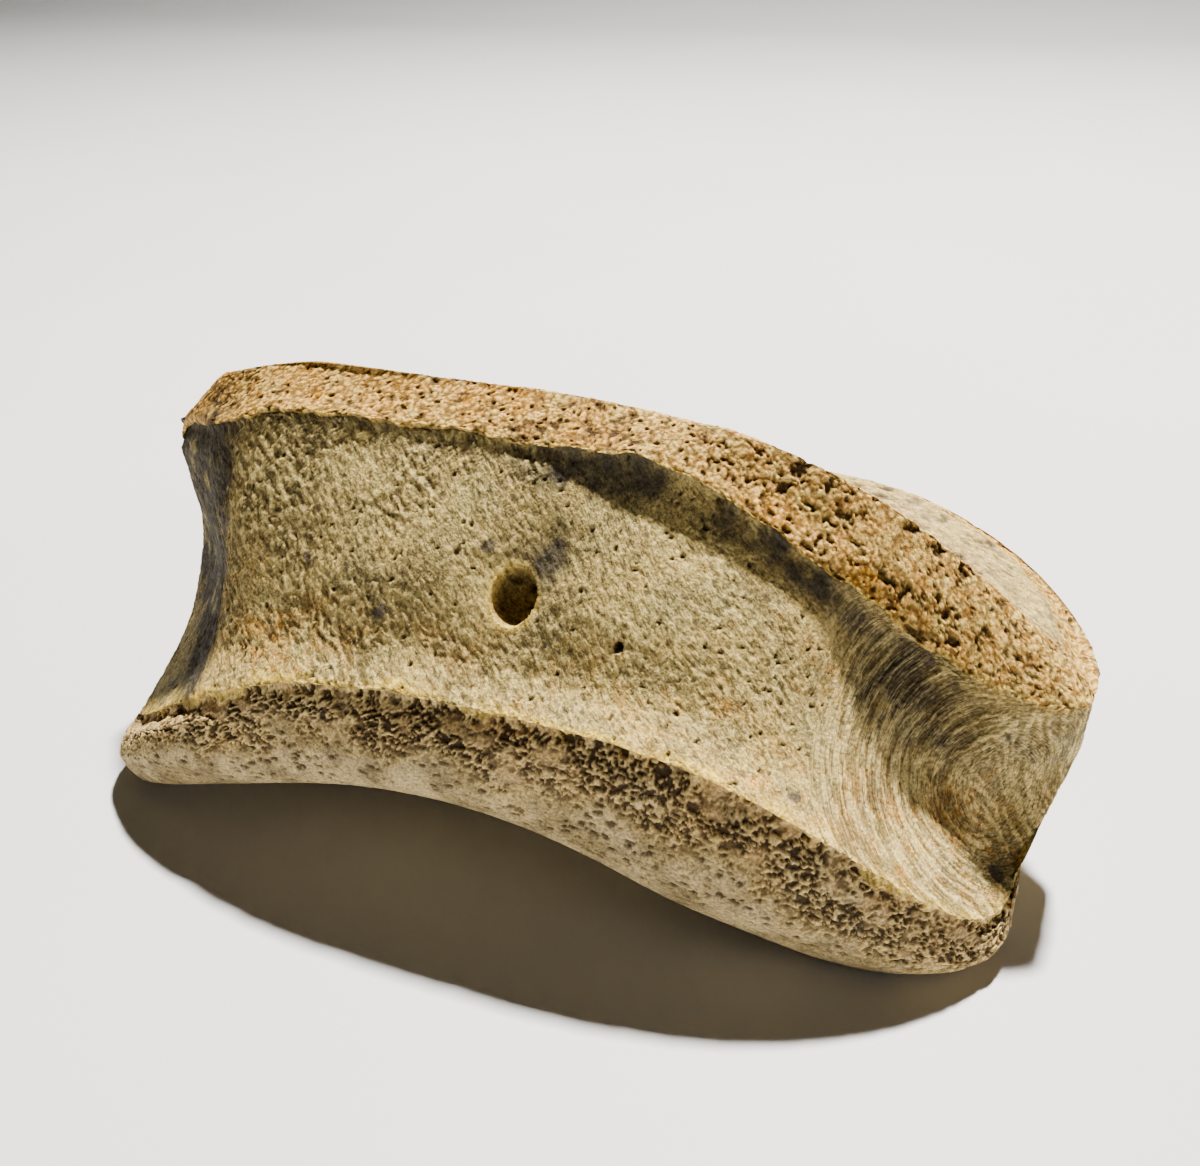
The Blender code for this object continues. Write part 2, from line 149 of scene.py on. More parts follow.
# Height of the crest round the upper dish: its saddle, and its fall to the right and left
CREST_TOP = 0.0590
CREST_SADDLE = 0.0019
CREST_SADDLE_X = 0.0245
CREST_SADDLE_RUN = 0.0158
CREST_DROP_RIGHT = 0.0300
CREST_RIGHT_X = 0.0191
CREST_RIGHT_RUN = 0.0444
CREST_DROP_LEFT = 0.0087
CREST_LEFT_X = -0.0331
CREST_LEFT_RUN = 0.0288
CREST_FALL_POWER = 1.6
CREST_FAR = 0.0381
CREST_FAR_DROP = 0.0056
CREST_FAR_RIGHT_X = 0.0337
CREST_FAR_RIGHT_RUN = 0.0220
CREST_FAR_LEFT_DROP = 0.0030
CREST_FAR_LEFT_X = -0.0260
CREST_FAR_LEFT_RUN = 0.0300

# Crest's edge, rounded in and down, and the dish inside it
CREST_ROUND = 0.0014
CREST_BEVEL = 0.0007
DISH_DEPTH = 0.0035
DISH_RIM = 0.0050
DISH_SHARES = (1.0, 0.78, 0.52, 0.26, 0.02)

# Broken edges: how far the wall steps in under the lip, and the lower end under the crease
LIP_STEP = 0.0008
LIP_STEP_DROP = 0.0009
LIP_STEP_END = 0.0520
LIP_STEP_RUN = 0.0100
CREASE_STEP = 0.0004
CREASE_STEP_DROP = 0.0007
CREASE_STEP_END = 0.0540
CREASE_STEP_RUN = 0.0320

# Wall: rises of its levels from the crease to the lip, and how far in its foot, middle, edge lie
WALL_RISES = (0.13, 0.42, 0.70, 0.90)
WALL_FOOT_REACH = 0.48
WALL_MIDDLE_REACH = 0.54
EDGE_REACH = 0.35

# How far the wall has leaned back to the lip near its top, and more where the lip overhangs it
UNDER_LIP = 0.86
UNDERCUT_SLOPE = 0.26
UNDERCUT_X = -0.0060
UNDERCUT_END_X = 0.0580
UNDERCUT_RUN = 0.0250

# Hollows (depth inwards) and lumps (depth below zero): start and end of a line, radius and depth
WALL_HOLLOWS = dict(
    side_pit=((0.0395, -0.0075, 0.0345), (0.0455, -0.0065, 0.0295), 0.005, 0.003),
    lower_pit=((0.0466, -0.0105, 0.024), (0.0484, -0.0124, 0.0216), 0.0055, 0.001),
    side_groove=((0.058, -0.006, 0.024), (0.0565, -0.0115, 0.013), 0.0036, 0.0016),
    near_flank=((0.0537, -0.009, 0.0205), (0.053, -0.0125, 0.015), 0.005, -0.0008),
    wall_groove=((-0.0005, -0.018, 0.0416), (0.0016, -0.0148, 0.045), 0.004, 0.0012),
    left_dent=((-0.034, -0.0165, 0.034), (-0.03, -0.015, 0.041), 0.006, 0.0004),
    mid_swell=((-0.02, -0.0185, 0.0385), (-0.012, -0.017, 0.042), 0.006, -0.0004),
    low_dent=((0.005, -0.0215, 0.034), (0.02, -0.0205, 0.033), 0.006, 0.0004),
)
BAND_HOLLOWS = dict(
    crest_lump=((0.014, -0.0045, 0.058), (0.0195, -0.0042, 0.0572), 0.0045, -0.0009),
    band_dent=((0.025, -0.007, 0.052), (0.03, -0.0072, 0.0485), 0.0045, 0.0006),
    band_lump=((0.038, -0.0065, 0.044), (0.043, -0.006, 0.04), 0.0045, -0.0006),
    knob=((0.06, 0.001, 0.033), (0.061, -0.001, 0.031), 0.0045, -0.0005),
    left_dip=((-0.033, -0.0072, 0.0558), (-0.025, -0.0072, 0.0562), 0.005, 0.0005),
)
LOWER_HOLLOWS = dict(
    left_lump=((-0.05, -0.026, 0.012), (-0.043, -0.0275, 0.015), 0.005, -0.0006),
    left_dip=((-0.033, -0.0295, 0.018), (-0.027, -0.0295, 0.02), 0.005, 0.0006),
    middle_lump=((-0.012, -0.03, 0.022), (-0.005, -0.03, 0.022), 0.005, -0.0005),
    middle_dip=((0.005, -0.03, 0.02), (0.012, -0.03, 0.018), 0.005, 0.0006),
    right_lump=((0.03, -0.029, 0.014), (0.038, -0.027, 0.011), 0.006, -0.0006),
)

# Middle of the bone's whole extent as drawn here, which is moved to the origin
MIDDLE_X = -0.0010
MIDDLE_Y = 0.0010

# Opening for a blood vessel in the near wall: half width, half height and depth, and its lean
FORAMEN_PLACE = (-0.0010, -0.0190, 0.0398)
FORAMEN_SIZE = (0.0026, 0.0034)
FORAMEN_DEPTH = 0.0044
FORAMEN_LEAN = 38.0
SMALL_FORAMEN_PLACE = (0.0125, -0.0209, 0.0370)
SMALL_FORAMEN_SIZE = (0.00055, 0.00065)
SMALL_FORAMEN_DEPTH = 0.0014

FORAMEN_FILLING = 0.0019

# How far the skin lies inside the solid before any relief, and inside the solid's box
SKIN_INSET = 0.00027
BOX_MARGIN = 0.00004

# Wall: width, length and depth of its wrinkles, of finer ones and of the right flank's hairs
WRINKLE = (0.00062, 0.0016, 0.00017)
FINE_WRINKLE = (0.00038, 0.0011, 0.00007)
HAIR = (0.00036, 0.0046, 0.00016)
HAIR_STEPS = 15
FLANK_X = 0.030
FLANK_RUN = 0.010
FIBRE_CENTRE = (0.0560, -0.0080, 0.0190)
FLANK_FACING = (0.55, -0.76, 0.35)

# Spacing and depth of pores and pits, and size and depth of grains, hollows and cavities
WALL_CRUMPLE = (0.0019, 0.00022)
WALL_PORES = (0.0015, 0.00028)
WALL_PITS = (0.0062, 0.00024)
BAND_GRAINS = (0.00060, 0.00012)
BAND_PORES = (0.00105, 0.00020)
BAND_HOLLOW = (0.0014, 0.00042)
BAND_HOLLOW_LEFT_DEPTH = 0.00012
BAND_SWELL = (0.0042, 0.00016)
CRUST_CAVES = (0.00062, 0.00036)
CRUST_SWELL = (0.0026, 0.00034)
CRUST_GRAINS = (0.0005, 0.00008)
SEAT_PITS = (0.0010, 0.00026)
SEAT_GRAINS = (0.0008, 0.00006)
DISH_GRAINS = (0.0010, 0.00010)
DISH_HOLLOWS = (0.0028, 0.00040)

# Depth of the crust under the crease: at the left, more at the right, and how softly it ends
CRUST_DEPTH = 0.0075
CRUST_DEPTH_RIGHT = 0.0030
CRUST_FADE = 0.0060

# Worn edges: grooves under the lip and the crease, the lip's blunt left corner, the side pit
LIP_GROOVE = 0.00055
CREASE_GROOVE = 0.00034
LIP_CORNER_X = -0.0495
LIP_CORNER_WEAR = 0.0012
SIDE_PIT_PLACE = (0.0424, -0.0067, 0.0322)
SIDE_PIT_RADII = (0.0038, 0.01, 0.0034)
SIDE_PIT_DEPTH = 0.0008

# Stains on the wall, and grey marks that are mostly painted shade in its hollows: strength, place
# and radii
OCHRE_STAINS = (
    (0.30, (0.010, -0.020, 0.030), (0.030, 0.02, 0.010)),
    (0.60, (0.036, -0.020, 0.024), (0.014, 0.02, 0.012)),
    (0.85, (0.052, -0.012, 0.014), (0.012, 0.02, 0.008)),
    (0.65, (-0.030, -0.020, 0.030), (0.020, 0.02, 0.006)),
    (0.30, (-0.044, -0.012, 0.034), (0.006, 0.02, 0.014)),
)
# Mostly painted shade: in the groove above the opening, the side pit, the lower pit and the side
# groove; the last, faint one is a grey stain on the middle of the wall
HOLLOW_SHADE_AND_GREY_STAINS = (
    (1.0, (0.0018, -0.0150, 0.0440), (0.0030, 0.01, 0.0040)),
    (1.3, (0.0430, -0.0070, 0.0310), (0.0050, 0.01, 0.0045)),
    (0.8, (0.0475, -0.0090, 0.0255), (0.0055, 0.01, 0.0060)),
    (0.7, (0.0590, -0.0040, 0.0230), (0.0040, 0.01, 0.0050)),
    (0.25, (-0.0100, -0.0170, 0.0360), (0.0120, 0.02, 0.0060)),
)

# Least height of the band over the lip, and how softly it is kept
BAND_LEAST = 0.0012
BAND_SOFT = 0.0004

# Camera: place, direction of view, its right side, and lens for a 36 mm wide sensor
CAMERA_PLACE = (0.0514, -0.1270, 0.1100)
CAMERA_RIGHT = (0.9369, 0.3494, -0.0104)
CAMERA_UP = (-0.1668, 0.4729, 0.8652)
CAMERA_LENS = 36.0

# Lights: place, size, power and colour of each, and the point that they face
LIGHT_AIM = (0.0, 0.0, 0.03)
LIGHTS = dict(
    key=((0.07, 0.42, 0.98), 0.07, 55.0, (1.0, 0.965, 0.90)),
    fill=((0.45, -0.84, 0.20), 0.35, 0.45, (1.0, 0.98, 0.95)),
    side=((0.92, -0.30, 0.42), 0.35, 0.60, (1.0, 0.97, 0.92)),
)
SURROUND_STRENGTH = 0.003

# Floor: half its width, and its depths and heights from front to back
FLOOR_REACH = 1.8
FLOOR_DEPTHS = (-1.2, -0.6, 0.0, 0.6, 1.0, 1.3, 1.5, 1.62, 1.68, 1.70, 1.70)
FLOOR_HEIGHTS = (0.0, 0.0, 0.0, 0.0, 0.0, 0.03, 0.12, 0.28, 0.50, 0.90, 1.8)


def smooth(t):
    """0 below 0, 1 above 1, and 3t^2 - 2t^3 between."""
    t = np.clip(t, 0.0, 1.0)
    return t * t * (3.0 - 2.0 * t)


def mix(a, b, t):
    """a at t = 0 and b at t = 1."""
    return a * (1.0 - t) + b * t


def ring(outline, angle, swell=0.0):
    """Superellipse x = a r cos, y = b r sin, r = (|cos|^n + |sin|^n)^(-1/n), with its own reach and
    power on each side, so that one angle stands at about one place along every outline."""
    c = np.cos(angle)
    s = np.sin(angle)
    middle = outline["middle"]
    a = np.where(c < 0.0, AXIS_X - outline["left"], outline["right"] - AXIS_X) + swell
    b = np.where(s < 0.0, middle - outline["near"], outline["far"] - middle) + swell
    left, right = outline["corners"]
    near_power = mix(right, left, smooth((1.0 - c) / 2.0))
    power = mix(FAR_CORNER, near_power, smooth(0.5 - 2.0 * s))
    r = (np.abs(c) ** power + np.abs(s) ** power) ** (-1.0 / power)
    return np.stack([AXIS_X + a * r * c, middle + b * r * s], -1)


def planed(xy, cut):
    """An outline cut back along a straight line.

    Each point moves in by soft * log(1 + exp(d / soft)), d being how far it lies past the line.
    """
    turn = np.radians(cut["facing"])
    facing = np.array([np.cos(turn), np.sin(turn)])
    beyond = (xy - np.array(cut["place"])) @ facing / cut["soft"]
    return xy - (cut["soft"] * np.logaddexp(0.0, beyond))[:, None] * facing


def lip_ring(angle):
    """The lip's outline, cut back at its left corner."""
    return planed(ring(LIP, angle), LIP_CUT)


def outline_centre(outline):
    """The middle between an outline's near and far sides, on the axis."""
    return np.array([AXIS_X, (outline["near"] + outline["far"]) / 2.0])


def stepped(xy, place, step):
    """An outline moved in towards the axis by step."""
    out = xy - np.array(place)
    return xy - out * (step / np.linalg.norm(out, axis=1))[:, None]


def nearness(xy, outline):
    """1 on the near side of an outline and 0 on its far side."""
    t = (xy[:, 1] - outline["near"]) / (outline["far"] - outline["near"])
    return 1.0 - smooth((t - NEAR_START) / NEAR_RUN)


def two_sided(x, top, left, right):
    """Distance from top, as a share of the left run or of the right run."""
    return np.where(x < top, (top - x) / left, (x - top) / right)


def arch_height(xy):
    """Height of the underside: an arch from end to end, low behind the near edge."""
    x = xy[:, 0]
    reach = np.abs(two_sided(x, ARCH_TOP_X, ARCH_TOP_X - ARCH_LEFT_X, ARCH_RIGHT_X - ARCH_TOP_X))
    near = ARCH_NEAR * (1.0 - smooth(reach))
    far = ARCH_FAR * (1.0 - smooth(np.abs(x - ARCH_FAR_TOP_X) / ARCH_FAR_REACH))
    return mix(near, far, smooth((xy[:, 1] - ARCH_NEAR_Y) / ARCH_DEPTH))


def crease_height(xy, near):
    """Height of the crease: a hill exp(-d^3) on the near side, level on the far side."""
    d = np.abs(two_sided(xy[:, 0], CREASE_TOP_X, CREASE_LEFT, CREASE_RIGHT))
    hill = CREASE_TOP - CREASE_DROP * (1.0 - np.exp(-d ** 3))
    return mix(CREASE_FAR, hill, near)


def lip_height(xy, near):
    """Height of the lip: level in the middle, lower to the right and left."""
    x = xy[:, 0]
    right = LIP_DROP_RIGHT * smooth((x - LIP_RIGHT_X) / LIP_RIGHT_RUN)
    left = LIP_DROP_LEFT * smooth((LIP_LEFT_X - x) / LIP_LEFT_RUN)
    return mix(LIP_FAR, LIP_TOP - right - left, near)


def runs_past(distance, run):
    """A distance in runs, held between 0 and 2."""
    return np.clip(distance / run, 0.0, 2.0)


def crest_height(xy, near):
    """Height of the crest: a saddle, then a long fall to the right and a short one to the left."""
    x = xy[:, 0]
    saddle = CREST_SADDLE * np.exp(-((x - CREST_SADDLE_X) / CREST_SADDLE_RUN) ** 2)
    right = CREST_DROP_RIGHT * runs_past(x - CREST_RIGHT_X, CREST_RIGHT_RUN) ** CREST_FALL_POWER
    left = CREST_DROP_LEFT * runs_past(CREST_LEFT_X - x, CREST_LEFT_RUN) ** CREST_FALL_POWER
    far_right = CREST_FAR_DROP * runs_past(x - CREST_FAR_RIGHT_X, CREST_FAR_RIGHT_RUN) ** 2
    far_left = CREST_FAR_LEFT_DROP * runs_past(CREST_FAR_LEFT_X - x, CREST_FAR_LEFT_RUN) ** 2
    return mix(CREST_FAR - far_right - far_left, CREST_TOP - saddle - right - left, near)


def edge_heights(lip, crest):
    """Heights of the lip and the crest, the lip staying BAND_LEAST below the crest all round."""
    high = crest_height(crest, nearness(crest, CREST))
    low = lip_height(lip, nearness(lip, LIP))
    over = (low - high + BAND_LEAST) / BAND_SOFT
    return low - BAND_SOFT * np.logaddexp(0.0, over), high


def level(xy, height):
    """Points of one outline at its height."""
    return np.column_stack([xy, height])


def lower_levels(angle):
    """The underside, the rolled edge and the shoulder up to the crease."""
    flare = ring(FLARE, angle)
    crease = ring(CREASE, angle)
    centre = outline_centre(FLARE)
    roll = mix(ROLL, ROLL_RIGHT, smooth((flare[:, 0] - ROLL_RIGHT_X) / ROLL_RIGHT_RUN))
    roll = mix(roll, ROLL_LEFT, smooth((ROLL_LEFT_X - flare[:, 0]) / ROLL_LEFT_RUN))
    out = flare - centre
    seat = centre + out * (1.0 - roll / np.linalg.norm(out, axis=1))[:, None]
    foot = arch_height(seat)
    top = crease_height(crease, nearness(crease, CREASE))
    side = mix(foot, top, SIDE_RISE)
    levels = []
    for share in SEAT_SHARES:
        xy = centre + (seat - centre) * share
        levels.append(level(xy, arch_height(xy)))
    for turn in np.radians(ROLL_TURNS):
        levels.append(level(mix(seat, flare, np.sin(turn)), mix(foot, side, 1.0 - np.cos(turn))))
    levels.append(level(flare, side))
    levels.append(level(mix(flare, crease, SHOULDER_REACH), mix(side, top, SHOULDER_RISE)))
    step = CREASE_STEP * smooth((CREASE_STEP_END - np.abs(crease[:, 0])) / CREASE_STEP_RUN)
    levels.append(level(stepped(crease, centre, step), top - CREASE_STEP_DROP))
    levels.append(level(crease, top))
    return levels


def wall_levels(angle):
    """The hollow wall from the crease to the overhanging lip."""
    crease = ring(CREASE, angle)
    waist = planed(ring(WAIST, angle), WAIST_CUT)
    lip = lip_ring(angle)
    near = nearness(lip, LIP)
    low = crease_height(crease, nearness(crease, CREASE))
    high = edge_heights(lip, ring(CREST, angle))[0]
    x = lip[:, 0]
    span = smooth((x - UNDERCUT_X) / UNDERCUT_RUN) * smooth((UNDERCUT_END_X - x) / UNDERCUT_RUN)
    overhang = UNDERCUT_SLOPE * near * span
    under = (UNDER_LIP + overhang)[:, None]
    centre = outline_centre(LIP)
    step = LIP_STEP * near * smooth((LIP_STEP_END - x) / LIP_STEP_RUN)
    foot, middle, upper, top = (mix(low, high, rise) for rise in WALL_RISES)
    edge = mix(waist, lip, mix(under, 1.0, EDGE_REACH))
    return [
        level(mix(crease, waist, WALL_FOOT_REACH), foot),
        level(waist, middle),
        level(mix(waist, lip, WALL_MIDDLE_REACH * under), upper),
        level(mix(waist, lip, under), top),
        level(stepped(edge, centre, step), high - LIP_STEP_DROP),
        level(lip, high),
    ]


def upper_levels(angle):
    """The band from the lip to the crest, and the dish inside the crest."""
    lip = lip_ring(angle)
    crest = ring(CREST, angle)
    low, high = edge_heights(lip, crest)
    centre = outline_centre(CREST)
    out = crest - centre
    size = np.linalg.norm(out, axis=1)
    top = centre + out * (1.0 - CREST_ROUND / size)[:, None]
    levels = [
        level(mix(lip, ring(CREST, angle, RIM_SWELL), 0.5), mix(low, high - CREST_BEVEL, 0.5)),
        level(crest, high - CREST_BEVEL),
        level(top, high),
    ]
    slope = (CREST_FAR - CREST_TOP) / (CREST["far"] - CREST["near"])
    lift = high - (CREST_TOP + CREST_FAR) / 2.0 - slope * (crest[:, 1] - centre[1])
    first = 1.0 - DISH_RIM / size
    for share in DISH_SHARES:
        s = first * share
        xy = centre + out * s[:, None]
        plane = (CREST_TOP + CREST_FAR) / 2.0 + slope * (xy[:, 1] - centre[1])
        levels.append(level(xy, plane + lift * s ** 2 - DISH_DEPTH * (1.0 - s ** 2) ** 1.5))
    return levels


def loft(levels, position):
    """Smooth curves through the levels: cubic pieces with centripetal spacing.

    position holds the level numbers to read, whole numbers being the levels themselves.
    """
    gap = np.sqrt(np.linalg.norm(np.diff(levels, axis=0), axis=-1).mean(axis=1))
    slope = np.diff(levels, axis=0) / gap[:, None, None]
    before = gap[:-1, None, None]
    after = gap[1:, None, None]
    middle = (slope[:-1] * after + slope[1:] * before) / (before + after)
    tangent = np.concatenate([slope[:1], middle, slope[-1:]])
    i = np.minimum(position.astype(int), len(levels) - 2)
    u = (position - i)[:, None, None]
    g = gap[i][:, None, None]
    return ((2 * u ** 3 - 3 * u ** 2 + 1) * levels[i] + (u ** 3 - 2 * u ** 2 + u) * g * tangent[i]
            + (3 * u ** 2 - 2 * u ** 3) * levels[i + 1] + (u ** 3 - u ** 2) * g * tangent[i + 1])


def outward(grid):
    """Unit normals of a closed grid, from its neighbours along the rows and columns."""
    along = np.gradient(grid, axis=0)
    around = np.roll(grid, -1, axis=1) - np.roll(grid, 1, axis=1)
    normal = np.cross(around, along)
    return normal / np.linalg.norm(normal, axis=-1, keepdims=True)


def segment_distance(points, start, end):
    """Distance of points from a straight segment."""
    start = np.array(start)
    line = np.array(end) - start
    t = np.clip((points - start) @ line / (line @ line), 0.0, 1.0)
    return np.linalg.norm(points - start - t[..., None] * line, axis=-1)


def hollowed(grid, position):
    """The grid with each hollow pressed in by depth * exp(-(distance / radius)^2).

    Each one is pressed one way, the mean of the surface's normals round it, and stays between
    the levels of its own part of the side.
    """
    parts = (
        (LOWER_HOLLOWS, SEAT_LEVEL + 1, CREASE_LEVEL - 1),
        (WALL_HOLLOWS, CREASE_LEVEL, LIP_LEVEL - 1),
        (BAND_HOLLOWS, LIP_LEVEL, CREST_LEVEL),
    )
    normal = outward(grid)
    moved = grid.copy()
    for hollows, low, high in parts:
        here = smooth(position - low) * smooth(high - position)
        for start, end, radius, depth in hollows.values():
            distance = segment_distance(grid, start, end)
            weight = (here[:, None] * np.exp(-(distance / radius) ** 2))[..., None]
            way = (weight * normal).sum(axis=(0, 1))
            moved -= depth * weight * way / np.linalg.norm(way)
    return moved


def lattice(i, j, k, seed):
    """A fixed random number from 0 to 1 for each whole-number cell."""
    h = (i.astype(np.uint32) * np.uint32(374761393) + j.astype(np.uint32) * np.uint32(668265263)
         + k.astype(np.uint32) * np.uint32(2246822519) + np.uint32(seed * 40503 + 97))
    h = (h ^ (h >> np.uint32(13))) * np.uint32(1274126177)
    h = (h ^ (h >> np.uint32(16))) * np.uint32(2654435761)
    return ((h ^ (h >> np.uint32(15))) >> np.uint32(8)).astype(np.float32) / 16777216.0


def noise(points, size, seed):
    """Smooth random field from -1 to 1 with features of the given size."""
    turn = np.array([[0.36, 0.48, -0.80], [-0.80, 0.60, 0.00], [0.48, 0.64, 0.60]])
    q = points @ turn / size + 1000.0 + 17.3 * seed
    cell = np.floor(q)
    f = (q - cell).astype(np.float32)
    cell = cell.astype(np.int64)
    w = f * f * f * (f * (f * 6.0 - 15.0) + 10.0)
    total = 0.0
    for corner in range(8):
        step = np.array([corner & 1, corner >> 1 & 1, corner >> 2 & 1])
        share = np.prod(np.where(step == 1, w, 1.0 - w), axis=-1)
        c = cell + step
        total = total + share * lattice(c[..., 0], c[..., 1], c[..., 2], seed)
    return total * 2.0 - 1.0


def layered(points, size, seed, layers=3, gain=0.55):
    """Sum of noise at halving sizes, scaled back to about -1 to 1."""
    total = 0.0
    weight = 1.0
    norm = 0.0
    for n in range(layers):
        total = total + weight * noise(points, size, seed + n)
        norm += weight
        weight *= gain
        size *= 0.47
    return total / norm * 1.4


def cells(points, size, seed):
    """Distance to the nearest scattered point, in sizes, and that point's own random number."""
    q = points / size + 500.0 + 3.7 * seed
    base = np.floor(q).astype(np.int64)
    f = (q - base).astype(np.float32)
    nearest = np.full(points.shape[:-1], 9.0, np.float32)
    own = np.zeros(points.shape[:-1], np.float32)
    for dx in (-1, 0, 1):
        for dy in (-1, 0, 1):
            for dz in (-1, 0, 1):
                c = base + np.array([dx, dy, dz])
                spot = [lattice(c[..., 0], c[..., 1], c[..., 2], seed + n) for n in range(3)]
                gap = ((spot[0] + dx - f[..., 0]) ** 2 + (spot[1] + dy - f[..., 1]) ** 2
                       + (spot[2] + dz - f[..., 2]) ** 2)
                closer = gap < nearest
                nearest = np.where(closer, gap, nearest)
                own = np.where(closer, lattice(c[..., 0], c[..., 1], c[..., 2], seed + 9), own)
    return np.sqrt(nearest), own


def strands(points, along, size, length, seed, steps=7):
    """Noise averaged along a direction at each point, so that it streaks that way."""
    total = 0.0
    for t in np.linspace(-0.5, 0.5, steps):
        total = total + noise(points + along * (t * length), size, seed)
    return total / steps ** 0.5 * 1.3


def warped(points, size, amount, seed):
    """Points shifted by a smooth random field, so that patterns on them lose their regular look."""
    return points + amount * np.stack([noise(points, size, seed + n) for n in range(3)], -1)


def ridged(value, gain):
    """1 where the value is 0, falling off on both sides."""
    return np.clip(1.0 - gain * np.abs(value), 0.0, 1.0)


def rise(grid, position, number):
    """Distance up each column from a level, measured along the surface."""
    step = np.linalg.norm(np.diff(grid, axis=0), axis=-1)
    length = np.vstack([np.zeros(grid.shape[1]), np.cumsum(step, axis=0)])
    i = int(np.searchsorted(position, number))
    t = (number - position[i - 1]) / (position[i] - position[i - 1])
    return length - length[i - 1] * (1.0 - t) - length[i] * t


def blob(points, place, radius):
    """exp(-(distance / radius)^2) round a place, where radius may be one number or three."""
    return np.exp(-(((points - np.array(place)) / np.array(radius)) ** 2).sum(axis=-1))


def column_angles():
    """Angles of the columns, fine over the near side and coarser over the far side."""
    turn = 2.0 * np.pi
    out = []
    for start, end, step in ((NEAR_TURN_START, NEAR_TURN_END, NEAR_STEP),
                             (NEAR_TURN_END, NEAR_TURN_START + turn, FAR_STEP)):
        fine = np.linspace(start, end, 2001)
        gap = np.linalg.norm(np.diff(ring(FLARE, fine), axis=0), axis=1)
        length = np.concatenate([[0.0], np.cumsum(gap)])
        count = int(length[-1] / step)
        out.append(np.interp(np.arange(count) / count * length[-1], length, fine))
    return out[0], out[1]


def row_levels(levels):
    """Level numbers of the rows: coarse over the underside, fine up the side and over the dish."""
    gap = np.linalg.norm(np.diff(levels, axis=0), axis=-1).mean(axis=1)
    length = np.concatenate([[0.0], np.cumsum(gap)])
    low = length[SEAT_LEVEL - 1]
    high = length[CREST_LEVEL + 1]
    wanted = np.concatenate([
        np.linspace(0.0, low, int(low / END_STEP), endpoint=False),
        np.linspace(low, high, int((high - low) / ROW_STEP), endpoint=False),
        np.linspace(high, length[-1], int((length[-1] - high) / DISH_STEP)),
    ])
    return np.interp(wanted, length, np.arange(len(levels)))


def plain_skin():
    """The loft on the fine grid, with each row's level number and the count of near columns."""
    near, far = column_angles()
    angle = np.concatenate([near, far])
    levels = np.array(lower_levels(angle) + wall_levels(angle) + upper_levels(angle))
    position = row_levels(levels)
    grid = hollowed(loft(levels, position), position)
    return grid, position, len(near)


def opening(points, place, size, depth, lean):
    """Depth of an oval hole, a bowl with steep sides, and the distance from its middle in radii."""
    d = points - np.array(place)
    c = np.cos(np.radians(lean))
    s = np.sin(np.radians(lean))
    across = d[..., 0] / size[0]
    up = (c * d[..., 2] + s * d[..., 1]) / size[1]
    through = (c * d[..., 1] - s * d[..., 2]) / 0.006
    r = np.sqrt(across ** 2 + up ** 2)
    inside = np.abs(through) < 1.0
    bowl = depth * np.clip(1.0 - r ** 4, 0.0, 1.0) ** 0.6
    return np.where(inside, bowl, 0.0), np.where(inside, r, 9.0)


def fibre_lean(x):
    """Lean of the wall's fibres in degrees: upright at the left corner, flatter to the right."""
    return 100.0 + 33.0 * smooth((x + 0.048) / 0.010) + 22.0 * smooth((x - 0.002) / 0.020)


def fibre_directions(grid, normal):
    """Unit directions in the surface that the fibres follow.

    They take fibre_lean over the wall and circle FIBRE_CENTRE on the right flank.
    """
    x = grid[..., 0]
    around = np.roll(grid, -1, axis=1) - np.roll(grid, 1, axis=1)
    around /= np.linalg.norm(around, axis=-1, keepdims=True)
    up = np.cross(normal, around)
    lean = np.radians(fibre_lean(x) - 50.0 * smooth((x - 0.052) / 0.005))
    plain = np.cos(lean)[..., None] * around + np.sin(lean)[..., None] * up
    spoke = grid - np.array(FIBRE_CENTRE)
    circle = np.cross(normal, spoke)
    circle /= np.linalg.norm(circle, axis=-1, keepdims=True) + 1e-9
    flip = np.sign((circle * plain).sum(axis=-1, keepdims=True))
    share = smooth((x - FLANK_X) / FLANK_RUN) * smooth((0.0565 - x) / 0.003)
    share = (share * smooth((np.linalg.norm(spoke, axis=-1) - 0.0035) / 0.003))[..., None]
    mixed = plain * (1.0 - share) + circle * flip * share
    return mixed / (np.linalg.norm(mixed, axis=-1, keepdims=True) + 1e-9)


def weave_places(grid, rise_up):
    """Places for the wall's fine pattern: across its wrinkles, and along them drawn in.

    They are the sums of the distance round the waist and up it, turned by fibre_lean.
    """
    row = grid[np.argmin(np.abs(grid[:, 0, 2] - 0.030))]
    step = np.linalg.norm(np.diff(row, axis=0, prepend=row[:1]), axis=-1)
    lean = np.radians(fibre_lean(row[:, 0]))
    across = rise_up * np.cos(lean) - np.cumsum(step * np.sin(lean))
    along = rise_up * np.sin(lean) + np.cumsum(step * np.cos(lean))
    return np.stack([across, along * 0.38, np.zeros_like(across)], -1)


def flow_places(grid):
    """Places for the flank's strands: distance from FIBRE_CENTRE, and turn round it drawn in."""
    side = np.cross(FLANK_FACING, (0.0, 0.0, 1.0))
    side /= np.linalg.norm(side)
    up = np.cross(side, FLANK_FACING)
    spoke = grid - np.array(FIBRE_CENTRE)
    turn = np.arctan2(spoke @ up, -(spoke @ side))
    return np.stack([np.linalg.norm(spoke, axis=-1), turn * 0.0009, np.zeros_like(turn)], -1)


